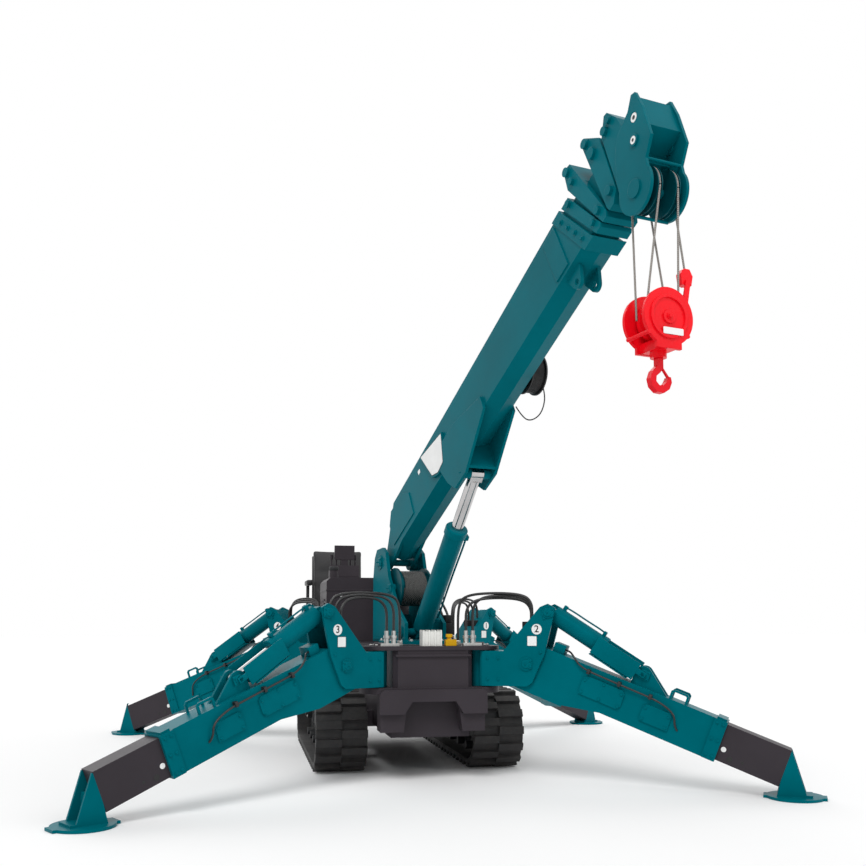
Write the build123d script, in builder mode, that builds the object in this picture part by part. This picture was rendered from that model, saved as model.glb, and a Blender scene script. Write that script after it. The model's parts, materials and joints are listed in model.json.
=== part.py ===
from build123d import *
from math import atan2, cos, degrees, hypot, pi, radians, sin, sqrt
import os

# Mini crawler crane on rubber tracks: slewing column, five-section boom, four swing-out outriggers.
# Millimetres. -Y is ahead, +Z up, and X runs across; seen from ahead, +X is on the right.
# The ground is z = 0, and x = 0 is the middle between the tracks.

# Driving dimensions
slew_y = 92.65                   # slewing axis behind the frame's origin
running_clear = 0.05            # radial clearance of a pin in its bore
seat_gap = 0.3                  # gap between faces that slide or rest on each other

# Tracks
track_outer_x = 640.0           # half of the overall width over the tracks
track_width = 310.0
track_tip_r = 240.0             # to the tips of the lugs, round the end wheels
lug_height = 24.0
lug_length = 46.0
lug_count = 44
belt_thick = 26.0
front_wheel_y = slew_y + 20.0
rear_wheel_y = slew_y + 1510.0
wheel_width = 110.0
hub_r = 70.0
hub_width = 176.0
roller_r = 52.0
roller_count = 5
hub_cap = 14.0
carrier_r = 30.0
sprocket_teeth = 17
sprocket_tooth = 22.0
idler_spokes = 5
idler_spoke_ring = 122.0
idler_hole_r = 30.0
frame_half_width = 50.0
frame_low_z = 150.0
frame_high_z = 330.0

# Chassis and deck
block_half_width = 232.0
block_front_y = slew_y - 560.0
chassis_rear_y = slew_y + 1600.0
belly_z = 250.0
belly_setback = 90.0
lower_plate_z = 505.0           # underside of the lower pivot plate
lower_plate_top = 540.0
deck_z = 752.0                  # underside of the deck plate
deck_top = 775.0
deck_half_width = 300.0
bumper_half_width = 312.0
bumper_leg_z = 290.0
bumper_leg_inner_x = 172.0
bumper_arch_z = 462.0
bumper_plate_z = 392.0
bumper_top_z = 530.0
bumper_front = 34.0             # bumper plate ahead of the block's face
bumper_leg_outer_x = 304.0
block_chamfer = 26.0
block_rim_z = 716.0
bumper_depth = 150.0
cross_beam_depth = 140.0
cross_beam_height = 100.0
cross_beam_z = 280.0
ear_r = 120.0                   # plate round an outrigger's upright pin
front_pivot = (295.0, slew_y - 447.0)
rear_pivot = (446.0, slew_y + 1258.0)
pivot_pin_r = 26.0
sleeve_r = 42.0

# Boxes on the deck
hood_x = (-520.0, -80.0)
hood_y = (slew_y + 565.0, slew_y + 1090.0)
hood_top = 1212.0
hood_round = 26.0
hood_seam_z = 1120.0
louvre_count = 9
louvre_low_z = 830.0
louvre_step = 28.0
louvre_thick = 12.0
louvre_half = 150.0
louvre_proud = 9.0
exhaust_r = 32.0
exhaust_height = 70.0
filler_r = 46.0
tank_x = (-40.0, 290.0)
tank_y = (slew_y + 620.0, slew_y + 1120.0)
tank_top = 985.0
seat_x = -330.0
seat_y = slew_y + 1640.0
seat_half_width = 210.0
seat_plate = 18.0
seat_height = 1010.0
seat_thick = 90.0
back_height = 470.0
console_y = slew_y + 1270.0
console_top = 1330.0
display_top = 1480.0
display_half = 75.0
console_half = 110.0
lever_count = 6
lever_step = 36.0
lever_height = 60.0
armrest_width = 55.0
armrest_z = 1190.0

# Small fittings on the front deck
lamp_y = slew_y - 482.0
lamp_half = 58.0
lamp_height = 84.0
fitting_y = slew_y - 490.0
fitting_places = (-262.0, -221.0, 209.0, 250.0)
valve_x = 118.0

# Superstructure on the slewing ring
slew_heading = 13.0             # degrees from straight ahead, towards +X
ring_r = 235.0
ring_top = 797.0
base_plate = 14.0
foot_pin_back = 277.0           # boom's foot pin behind the slewing axis
foot_pin_z = 1300.0
foot_pin_r = 22.0
column_plate = 22.0
column_inner = 118.0            # from the boom's middle plane to a column plate
column_rear = -400.0
column_front = 150.0
drum_r = 104.0
drum_flange_r = 132.0
drum_flange = 12.0
drum_inner = 94.0
drum_back = 110.0               # winch drum's axis behind the slewing axis
drum_z = 1125.0
drum_axle_r = 30.0
rib_proud = 7.0
motor_r = 52.0
motor_length = 84.0

# Boom
luff_angle = 29.0               # boom's angle above level as it stands
boom_half_width = 83.0
boom_top = 294.0                # top face above the foot pin's axis
boom_ridge = -30.0              # lowest edge of the V-shaped underside
boom_rear = 75.0
boom_rear_height = 122.0        # where the sloping rear end meets its upright face
boom_rear_slope = 270.0         # where the sloping rear end meets the top face
boom_end_top = 2656.0           # base section's front end at its top face
boom_end_low = boom_end_top + 130     # and at its ridge
section_wall = 5.0
section_gap = 5.0
collar_rim = 6.0
collar_band = 75.0
foot_lug_r = 48.0
foot_lug_thick = 20.0

boss_place = (boom_end_top - 96, -72.0)     # pin boss for a searcher hook, under the boom's front end
boss_r = 34.0
boss_hole_r = 16.0
boss_half = 58.0
boss_wall = 18.0
side_plate = 6.0

# Boom head and its sheaves
sheave_along = boom_end_top + 454      # as the sections lie retracted
sheave_up = -118.0
sheave_r = 92.0
sheave_thick = 24.0
sheave_axle_r = 20.0
sheave_lateral = (-42.0, 48.0)  # towards the boom's right
sheave_flange_r = 101.0
sheave_flange = 4.0
guard_clear = 8.0
guard_r = 7.0
cheek_boss = 7.0
reel_r = 112.0
cheek_thick = 14.0
rope_r = 4.5

# Hook block
block_drop = 550.0              # block's middle below the head sheaves' axis
block_r = 122.0
block_half_thick = 74.0
cheek_plate = 16.0
hook_drop = 800.0               # middle of the hook's bowl below the head sheaves' axis
hook_bowl_r = 26.0
hook_thick = 30.0
socket_lateral = 124.0
socket_drop = 360.0
link_pin = (96.0, 40.0)         # beside and above the block's middle
link_pin_r = 8.0
dead_lateral = 90.0             # where the rope's dead end hangs under the head's right cheek
dead_drop = 109.5

# Luffing cylinder, in the boom's plane
luff_foot = (80.0, 850.0)       # ahead of the slewing axis, above the ground
luff_eye = (1200.0, -155.0)     # along and above the boom's foot pin
luff_barrel_r = 60.0
luff_rod_r = 36.0
luff_barrel_length = 805.0
luff_rod_length = 840.0
luff_eye_r = 30.0
luff_eye_half = 38.0
luff_foot_r = 45.0
bore_start = 10.0               # a barrel's bore begins this far past its foot eye

# Outriggers: radial distance r from the upright pin, and height z
leg_heading = {"front": 31.6, "rear": 33.1}    # degrees ahead of or behind straight out
beam_reach = {"front": 0.0, "rear": 66.0}      # inner beam's extra reach
arm_pin = (315.0, 675.0)
arm_pin_r = 22.0
arm_pitch = 21.2
arm_low, arm_high = -97.0, 125.0
arm_root_low = -150.0
arm_root = -70.0
arm_length = 1130.0
arm_half_width = 73.0
arm_wall = 6.0
beam_gap = 5.0
beam_length = 1470.0
beam_tail = 420.0
bracket_plate = 16.0
bracket_clear = 6.0
leg_pin = (445.0, 970.0)        # upper pin of the outrigger's cylinder
leg_eye = (970.0, 628.0)
leg_pin_r = 16.0
leg_barrel_r = 54.0
leg_barrel_length = 370.0
leg_rod_r = 27.0
leg_rod_length = 372.0
leg_eye_r = 31.0
leg_eye_half = 22.0
cover_proud = 10.0
pad_r = 145.0
pad_thick = 14.0

os.makedirs("parts", exist_ok=True)

up_z = Vector(0, 0, 1)
slew_axis = Vector(0, slew_y, 0)
ahead = Vector(sin(radians(slew_heading)), -cos(radians(slew_heading)), 0)
left = Vector(-cos(radians(slew_heading)), -sin(radians(slew_heading)), 0)
boom_dir = ahead * cos(radians(luff_angle)) + up_z * sin(radians(luff_angle))
boom_up = left.cross(boom_dir)
foot = slew_axis - ahead * foot_pin_back + up_z * foot_pin_z

# Side planes: x ahead or along, y up, z to the boom's left
upper_side = Plane(origin=slew_axis, x_dir=ahead, z_dir=left)
boom_side = Plane(origin=foot, x_dir=boom_dir, z_dir=left)


def boom_cross(along):
    """Cross-section plane of the boom: x to its right, y up, z along it."""
    return Plane(origin=foot + boom_dir * along, x_dir=-left, z_dir=boom_dir)


def disc(place, radius, mode=Mode.ADD):
    """A circle at a place of the sketch."""
    with Locations(place):
        Circle(radius, mode=mode)


def outline(*points, mode=Mode.ADD):
    """A closed straight-sided face in the sketch."""
    Polygon(*points, align=None, mode=mode)


def block(xs, ys, zs):
    """A box between pairs of limits."""
    with Locations((sum(xs) / 2, sum(ys) / 2, sum(zs) / 2)):
        Box(xs[1] - xs[0], ys[1] - ys[0], zs[1] - zs[0])


def finish(part, name):
    part.label = name
    export_step(part, f"parts/{name}.step")


# Tracks: one closed rubber belt each, with its lugs staggered left and right
belt_out_r = track_tip_r - lug_height
belt_in_r = belt_out_r - belt_thick
wheel_span = rear_wheel_y - front_wheel_y
track_middle = ((front_wheel_y + rear_wheel_y) / 2, track_tip_r)
belt_path = 2 * wheel_span + 2 * pi * belt_out_r
lug_pitch = belt_path / lug_count
lug_root = 4.0                  # how far a lug reaches into the belt


def lug_place(distance):
    """Middle of a lug at a distance along the belt, and its turn."""
    distance %= belt_path
    reach = belt_out_r + (lug_height - lug_root) / 2
    arc = pi * belt_out_r
    if distance < wheel_span:
        return front_wheel_y + distance, track_tip_r - reach, 0
    if wheel_span + arc <= distance < 2 * wheel_span + arc:
        return rear_wheel_y - (distance - wheel_span - arc), track_tip_r + reach, 180
    reach -= track_tip_r - sqrt(track_tip_r ** 2 - (lug_length / 2) ** 2)
    if distance < wheel_span + arc:
        turn = (distance - wheel_span) / belt_out_r
        return rear_wheel_y + reach * sin(turn), track_tip_r - reach * cos(turn), degrees(turn)
    turn = pi + (distance - 2 * wheel_span - arc) / belt_out_r
    return front_wheel_y + reach * sin(turn), track_tip_r - reach * cos(turn), degrees(turn)


for side, sign in (("left", -1), ("right", 1)):
    near_x = min(sign * track_outer_x, sign * (track_outer_x - track_width))
    with BuildPart() as track:
        with BuildSketch(Plane.YZ.offset(near_x)):
            with Locations(track_middle):
                SlotCenterToCenter(wheel_span, 2 * belt_out_r)
                SlotCenterToCenter(wheel_span, 2 * belt_in_r, mode=Mode.SUBTRACT)
        extrude(amount=track_width)
        for half in (0, 1):
            with BuildSketch(Plane.YZ.offset(near_x + half * track_width / 2)):
                for index in range(lug_count):
                    y, z, turn = lug_place((index + half / 2) * lug_pitch)
                    with Locations(Location((y, z), turn)):
                        Rectangle(lug_length, lug_height + lug_root)
            extrude(amount=track_width / 2)
    finish(track.part, f"track_{side}")

# Track frames: beam, toothed sprocket, spoked idler, rollers and a carrier roller inside each belt
frame_x = track_outer_x - track_width / 2
roller_z = track_tip_r - belt_in_r + seat_gap + roller_r
carrier_z = track_tip_r + belt_in_r - seat_gap - carrier_r
with BuildPart() as track_frames:
    for sign in (-1, 1):
        with BuildSketch(Plane.YZ.offset(sign * frame_x - frame_half_width)):
            with Locations((track_middle[0], (frame_low_z + frame_high_z) / 2)):
                Rectangle(wheel_span, frame_high_z - frame_low_z)
            disc((track_middle[0], carrier_z), carrier_r)
            with Locations((track_middle[0], (frame_high_z + carrier_z) / 2)):
                Rectangle(carrier_r, carrier_z - frame_high_z + carrier_r / 2)
        extrude(amount=2 * frame_half_width)
        with BuildSketch(Plane.YZ.offset(sign * frame_x - wheel_width / 2)):
            disc((rear_wheel_y, track_tip_r), belt_in_r - sprocket_tooth)
            with Locations((rear_wheel_y, track_tip_r)):
                with PolarLocations(belt_in_r - sprocket_tooth, sprocket_teeth):
                    Rectangle(2 * sprocket_tooth - 2 * seat_gap - 1, sprocket_tooth)
            disc((front_wheel_y, track_tip_r), belt_in_r - seat_gap)
            for index in range(roller_count):
                roller_y = front_wheel_y + wheel_span * (index + 1) / (roller_count + 1)
                disc((roller_y, roller_z), roller_r)
        extrude(amount=wheel_width)
        with BuildSketch(Plane.YZ.offset(sign * frame_x - wheel_width / 2)):
            with Locations((front_wheel_y, track_tip_r)):
                with PolarLocations(idler_spoke_ring, idler_spokes):
                    Circle(idler_hole_r)
            with Locations((rear_wheel_y, track_tip_r)):
                with PolarLocations(idler_spoke_ring, 2 * idler_spokes, start_angle=15):
                    Circle(idler_hole_r / 2)
        extrude(amount=wheel_width, mode=Mode.SUBTRACT)
        with BuildSketch(Plane.YZ.offset(sign * frame_x - hub_width / 2)):
            for wheel_y in (front_wheel_y, rear_wheel_y):
                disc((wheel_y, track_tip_r), hub_r)
        extrude(amount=hub_width)
        with BuildSketch(Plane.YZ.offset(sign * frame_x - hub_width / 2 - hub_cap)):
            for index in range(roller_count):
                roller_y = front_wheel_y + wheel_span * (index + 1) / (roller_count + 1)
                disc((roller_y, roller_z), roller_r / 2)
            disc((front_wheel_y, track_tip_r), hub_r * 0.6)
            disc((rear_wheel_y, track_tip_r), hub_r * 0.75)
        extrude(amount=hub_width + 2 * hub_cap)
finish(track_frames.part, "track_frames")

# Chassis: front block with arched bumper, spine, cross beams, deck and lower plates, upright pins
frame_inner_x = frame_x - frame_half_width
with BuildPart() as chassis:
    with BuildSketch(Plane.XY.offset(lower_plate_z)):
        outline((-block_half_width, block_front_y + block_chamfer), (block_chamfer - block_half_width, block_front_y),
                (block_half_width - block_chamfer, block_front_y), (block_half_width, block_front_y + block_chamfer),
                (block_half_width, chassis_rear_y), (-block_half_width, chassis_rear_y))
    extrude(amount=deck_z - lower_plate_z)
    block((-block_half_width, block_half_width), (block_front_y + belly_setback, chassis_rear_y),
          (belly_z, lower_plate_z))
    block((-deck_half_width, deck_half_width), (block_front_y, chassis_rear_y), (deck_z, deck_top))
    with BuildSketch(Plane.XZ.offset(bumper_front - block_front_y)):
        outline((-bumper_half_width, bumper_plate_z), (-bumper_half_width, bumper_top_z - 20),
                (20 - bumper_half_width, bumper_top_z), (bumper_half_width - 20, bumper_top_z),
                (bumper_half_width, bumper_top_z - 20), (bumper_half_width, bumper_plate_z),
                (bumper_leg_inner_x, bumper_plate_z), (bumper_leg_inner_x - 45, bumper_arch_z),
                (45 - bumper_leg_inner_x, bumper_arch_z), (-bumper_leg_inner_x, bumper_plate_z))
    extrude(amount=-bumper_front - 30)
    with BuildSketch(Plane.XZ.offset(-block_front_y)):
        outline((-bumper_leg_outer_x, bumper_leg_z), (-bumper_leg_outer_x, lower_plate_z),
                (bumper_leg_outer_x, lower_plate_z), (bumper_leg_outer_x, bumper_leg_z),
                (bumper_leg_inner_x, bumper_leg_z), (bumper_leg_inner_x - 25, bumper_arch_z + 6),
                (25 - bumper_leg_inner_x, bumper_arch_z + 6), (-bumper_leg_inner_x, bumper_leg_z))
    extrude(amount=-bumper_depth)
    block((-220, 220), (block_front_y - 14, block_front_y + 2), (block_rim_z, block_rim_z + 12))
    for share in (0.25, 0.75):
        beam_y = front_wheel_y + share * wheel_span
        block((-frame_inner_x, frame_inner_x), (beam_y - cross_beam_depth / 2, beam_y + cross_beam_depth / 2),
              (cross_beam_z - cross_beam_height / 2, cross_beam_z + cross_beam_height / 2))
    for pivot_x, pivot_y in (front_pivot, rear_pivot):
        for low, high in ((lower_plate_z, lower_plate_top), (deck_z, deck_top)):
            with BuildSketch(Plane.XY.offset(low)):
                disc((-pivot_x, pivot_y), ear_r)
                disc((pivot_x, pivot_y), ear_r)
                make_hull()
            extrude(amount=high - low)
        with BuildSketch(Plane.XY.offset(lower_plate_z)):
            disc((-pivot_x, pivot_y), pivot_pin_r)
            disc((pivot_x, pivot_y), pivot_pin_r)
        extrude(amount=deck_top - lower_plate_z)
finish(chassis.part, "chassis")

# Hood over the engine: rounded top edges, louvres on its left and rear, exhaust on top
with BuildPart() as hood:
    with BuildSketch(Plane.XZ.offset(-hood_y[0])):
        outline((hood_x[0], deck_top), (hood_x[0], hood_top - hood_round),
                (hood_x[0] + hood_round, hood_top), (hood_x[1] - hood_round, hood_top),
                (hood_x[1], hood_top - hood_round), (hood_x[1], deck_top))
    extrude(amount=hood_y[0] - hood_y[1])
    hood_middle_y = sum(hood_y) / 2
    for index in range(louvre_count):
        louvre_z = louvre_low_z + index * louvre_step
        block((hood_x[0] - louvre_proud, hood_x[0] + 1), (hood_middle_y - louvre_half, hood_middle_y + louvre_half),
              (louvre_z, louvre_z + louvre_thick))
        block((sum(hood_x) / 2 - louvre_half, sum(hood_x) / 2 + louvre_half), (hood_y[1] - 1, hood_y[1] + louvre_proud),
              (louvre_z, louvre_z + louvre_thick))
    block((hood_x[0] - 3, hood_x[1] + 3), (hood_y[0] - 3, hood_y[1] + 3), (hood_seam_z, hood_seam_z + 10))
    with BuildSketch(Plane.XY.offset(hood_top - 1)):
        disc((hood_x[0] + 90, hood_y[1] - 90), exhaust_r)
    extrude(amount=exhaust_height)
finish(hood.part, "hood")

# Oil tank: rounded box with its filler cap and lid
with BuildPart() as tank:
    with BuildSketch(Plane.XY.offset(deck_top)):
        with Locations((sum(tank_x) / 2, sum(tank_y) / 2)):
            RectangleRounded(tank_x[1] - tank_x[0], tank_y[1] - tank_y[0], 24)
    extrude(amount=tank_top - deck_top)
    with BuildSketch(Plane.XY.offset(tank_top - 1)):
        with Locations((sum(tank_x) / 2, sum(tank_y) / 2 + 60)):
            RectangleRounded(tank_x[1] - tank_x[0] - 60, 260, 16)
        disc((tank_x[0] + 80, tank_y[0] + 90), filler_r)
    extrude(amount=16)
    with BuildSketch(Plane.XY.offset(tank_top + 14)):
        disc((tank_x[0] + 80, tank_y[0] + 90), filler_r - 8)
    extrude(amount=22)
finish(tank.part, "tank")

# Operator's seat on its pedestal, and the console with its display and levers
seat_rear_y = seat_y + seat_half_width
with BuildPart() as seat_stand:
    with BuildSketch(Plane.XY.offset(deck_top)):
        with Locations((seat_x, seat_y)):
            Rectangle(300, 300)
    extrude(amount=seat_height - seat_thick - seat_gap - deck_top, taper=4)
    block((seat_x - 190, seat_x + 190), (seat_y - 170, seat_y + 170),
          (seat_height - seat_thick - 24, seat_height - seat_thick - seat_gap))
    with BuildSketch(Plane.XY.offset(deck_top)):
        outline((seat_x + seat_half_width, seat_y - 170), (seat_x - 90, seat_y - 150),
                (seat_x - seat_half_width, seat_y - 35), (seat_x - seat_half_width, seat_y + seat_half_width),
                (seat_x + seat_half_width, seat_y + seat_half_width))
    extrude(amount=seat_plate)
finish(seat_stand.part, "seat_stand")

with BuildPart() as seat:
    with BuildSketch(Plane.YZ.offset(seat_x - seat_half_width)):
        outline((seat_y - seat_half_width, seat_height - seat_thick), (seat_y - seat_half_width - 10, seat_height - 40),
                (seat_y - seat_half_width + 20, seat_height), (seat_rear_y - seat_thick - 10, seat_height - 12),
                (seat_rear_y - seat_thick, seat_height + 40), (seat_rear_y - 20, seat_height + back_height),
                (seat_rear_y + 40, seat_height + back_height - 10), (seat_rear_y, seat_height - 20),
                (seat_rear_y - 40, seat_height - seat_thick))
    extrude(amount=2 * seat_half_width)
    for near in (seat_x - seat_half_width - armrest_width, seat_x + seat_half_width):
        block((near, near + armrest_width), (seat_y - 90, seat_rear_y - 30), (armrest_z, armrest_z + 45))
        block((near + 10, near + armrest_width - 10), (seat_rear_y - 90, seat_rear_y - 30),
              (seat_height - 60, armrest_z + 1))
        block((min(near + 10, seat_x), max(near + armrest_width - 10, seat_x)), (seat_rear_y - 90, seat_rear_y - 50),
              (seat_height - 60, seat_height - 30))
finish(seat.part, "seat")

with BuildPart() as console:
    with BuildSketch(Plane.YZ.offset(seat_x - console_half)):
        outline((console_y - 60, deck_top), (console_y - 70, console_top - 80), (console_y - 60, console_top),
                (console_y + 60, console_top - 50), (console_y + 60, deck_top))
    extrude(amount=2 * console_half)
    for index in range(lever_count):
        lever_x = seat_x + (index - (lever_count - 1) / 2) * lever_step
        with BuildSketch(Plane.XY.offset(console_top - 60)):
            disc((lever_x, console_y + 30), 6)
        extrude(amount=lever_height + 60)
        with BuildSketch(Plane.XY.offset(console_top + lever_height - 10)):
            disc((lever_x, console_y + 30), 13)
        extrude(amount=34)
    block((seat_x - display_half, seat_x + display_half), (console_y - 62, console_y - 28),
          (display_top - 2 * display_half * 0.72, display_top))
    block((seat_x - 25, seat_x + 25), (console_y - 60, console_y - 40),
          (console_top - 80, display_top - 2 * display_half * 0.72 + 1))
finish(console.part, "console")

# On the deck: work lamp with its guard, upright hose fittings, shut-off valve
with BuildPart() as work_lamp:
    block((-lamp_half, lamp_half), (lamp_y - 45, lamp_y + 45), (deck_top, deck_top + lamp_height))
    for index in range(4):
        bar_x = (index - 1.5) * 2 * lamp_half / 3.4
        block((bar_x - 4, bar_x + 4), (lamp_y - 55, lamp_y + 55), (deck_top, deck_top + lamp_height + 8))
finish(work_lamp.part, "work_lamp")

with BuildPart() as hose_fittings:
    block((-300, -190), (fitting_y - 24, fitting_y + 24), (deck_top, deck_top + 16))
    block((190, 300), (fitting_y - 24, fitting_y + 24), (deck_top, deck_top + 16))
    for fitting_x in fitting_places:
        for low, high, radius in ((10, 45, 15), (44, 60, 19), (59, 88, 12)):
            with BuildSketch(Plane.XY.offset(deck_top + low)):
                disc((fitting_x, fitting_y), radius)
            extrude(amount=high - low)
finish(hose_fittings.part, "hose_fittings")

with BuildPart() as shut_off_valve:
    block((valve_x - 32, valve_x + 32), (lamp_y - 22, lamp_y + 22), (deck_top, deck_top + 36))
    with BuildSketch(Plane.XY.offset(deck_top + 35)):
        disc((valve_x - 8, lamp_y), 12)
    extrude(amount=16)
    with BuildSketch(Plane.XY.offset(deck_top + 50)):
        disc((valve_x - 8, lamp_y), 20)
    extrude(amount=18)
finish(shut_off_valve.part, "shut_off_valve")

# Column: ring and base plate, two side plates, pins for boom, cylinder and drum
with BuildPart() as column:
    with BuildSketch(Plane.XY.offset(deck_top + seat_gap)):
        disc((0, slew_y), ring_r)
    extrude(amount=ring_top - deck_top - seat_gap)
    with BuildSketch(upper_side.offset(-column_inner - column_plate)):
        outline((column_rear, ring_top - base_plate), (column_rear, ring_top),
                (column_front, ring_top), (column_front, ring_top - base_plate))
    extrude(amount=2 * (column_inner + column_plate))
    for inner in (column_inner, -column_inner - column_plate):
        with BuildSketch(upper_side.offset(inner)):
            outline((column_rear, ring_top - base_plate), (column_rear, 1200), (-375, 1330), (-335, 1385),
                    (-235, 1395), (-180, 1360), (-130, 1200), (30, 990), (column_front, 905),
                    (column_front, ring_top - base_plate))
        extrude(amount=column_plate)
    with BuildSketch(upper_side.offset(-column_inner)):
        disc((-foot_pin_back, foot_pin_z), foot_pin_r)
        disc(luff_foot, foot_pin_r)
        disc((-drum_back, drum_z), drum_axle_r)
    extrude(amount=2 * column_inner)
    for near in (boom_half_width + seat_gap, -column_inner):
        with BuildSketch(upper_side.offset(near)):
            disc((-foot_pin_back, foot_pin_z), foot_lug_r)
        extrude(amount=column_inner - boom_half_width - seat_gap)
    with BuildSketch(upper_side.offset(-column_inner)):
        outline((column_rear, ring_top - 1), (column_rear + 16, ring_top - 1), (column_rear + 16, 960), (column_rear, 960))
    extrude(amount=2 * column_inner)
    for near in (column_inner + column_plate - 1, -column_inner - column_plate - rib_proud + 1):
        with BuildSketch(upper_side.offset(near)):
            outline((column_rear + 20, ring_top - 1), (column_front - 10, ring_top - 1), (column_front - 10, ring_top + 10),
                    (column_rear + 20, ring_top + 10))
            disc((-foot_pin_back, foot_pin_z), foot_pin_r + 26)
            disc(luff_foot, foot_pin_r + 18)
        extrude(amount=rib_proud)
finish(column.part, "column")

# Winch motor with its valve block on the column's right side
with BuildPart() as winch_motor:
    motor_near = column_inner + column_plate + seat_gap
    with BuildSketch(upper_side.offset(-motor_near - motor_length)):
        disc((-drum_back, drum_z), motor_r)
    extrude(amount=motor_length)
    with BuildSketch(upper_side.offset(-motor_near - 14)):
        disc((-drum_back, drum_z), motor_r + 16)
    extrude(amount=14)
    with BuildSketch(upper_side.offset(-motor_near - motor_length - 2)):
        outline((-drum_back - 48, drum_z - 70), (-drum_back - 48, drum_z + 64), (-drum_back - 20, drum_z + 92),
                (-drum_back + 44, drum_z + 92), (-drum_back + 44, drum_z - 70))
    extrude(amount=66)
finish(winch_motor.part, "winch_motor")

with BuildPart() as winch_drum:
    with BuildSketch(upper_side.offset(-drum_inner)):
        disc((-drum_back, drum_z), drum_r)
    extrude(amount=2 * drum_inner)
    for near in (drum_inner, -drum_inner - drum_flange):
        with BuildSketch(upper_side.offset(near)):
            disc((-drum_back, drum_z), drum_flange_r)
        extrude(amount=drum_flange)
    with BuildSketch(upper_side.offset(-drum_inner - drum_flange)):
        disc((-drum_back, drum_z), drum_axle_r + running_clear)
    extrude(amount=2 * (drum_inner + drum_flange), mode=Mode.SUBTRACT)
finish(winch_drum.part, "winch_drum")

# Boom: pentagonal tubes inside each other, each with a collar at its front end
section_step = section_wall + section_gap
ridge_angle = atan2(-boom_ridge, boom_half_width)


def pentagon(inset, mode=Mode.ADD):
    """The boom's outline on a cross plane, inset from the base section's."""
    half = boom_half_width - inset
    rise = inset / cos(ridge_angle)
    side_low = boom_ridge * inset / boom_half_width + rise
    outline((-half, side_low), (-half, boom_top - inset), (half, boom_top - inset), (half, side_low),
            (0, boom_ridge + rise), mode=mode)


def passage(start, end, inset):
    """Cuts the way for a section of this inset, with its sliding gap."""
    with BuildSketch(boom_cross(start)) as opening:
        pentagon(inset - seat_gap)
    extrude(opening.sketch, amount=end - start, mode=Mode.SUBTRACT)


def tube(start, end, inset):
    """One boom section's walls."""
    with BuildSketch(boom_cross(start)) as walls:
        pentagon(inset)
        pentagon(inset + section_wall, mode=Mode.SUBTRACT)
    extrude(walls.sketch, amount=end - start)


def collar(points, half_width=boom_half_width):
    """A block across the boom, from its side outline."""
    with BuildSketch(boom_side.offset(-half_width)) as flank:
        outline(*points)
    extrude(flank.sketch, amount=2 * half_width)


# Side outlines of the collars, ahead of the base section's end and above the foot pin
section_collars = {
    2: ((12, 300), (77, 300), (200, -20), (190, -36), (152, -36)),
    3: ((96, 330), (114, 425), (134, 434), (169, 425), (256, -5), (244, -32), (212, -32)),
    4: ((266, -5), (279, 410), (309, 425), (389, 320), (355, 12), (309, -30), (274, -30)),
    5: ((366, 5), (400, 300), (462, 372), (484, 365), (519, 280), (519, -10), (384, -10)),
}
section_knobs = {
    2: ((70, 262, 17), (162, 22, 15)),
    3: ((137, 404, 22), (144, 330, 16), (216, 40, 20)),
    4: ((306, 385, 22), (319, 300, 26), (322, 40, 22)),
    5: ((434, 300, 20), (479, 318, 16)),
}
knob_proud = 16.0
head_front = sheave_along + 50
section_start = {2: 330, 3: 400, 4: 470, 5: 540}
section_end = {2: boom_end_top + 159, 3: boom_end_top + 202, 4: boom_end_top + 334, 5: sheave_along - 10}


def beyond(start, *points):
    """Points given along the boom from a start, as places along the whole boom."""
    return [(start + along, above) for along, above in points]


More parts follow.
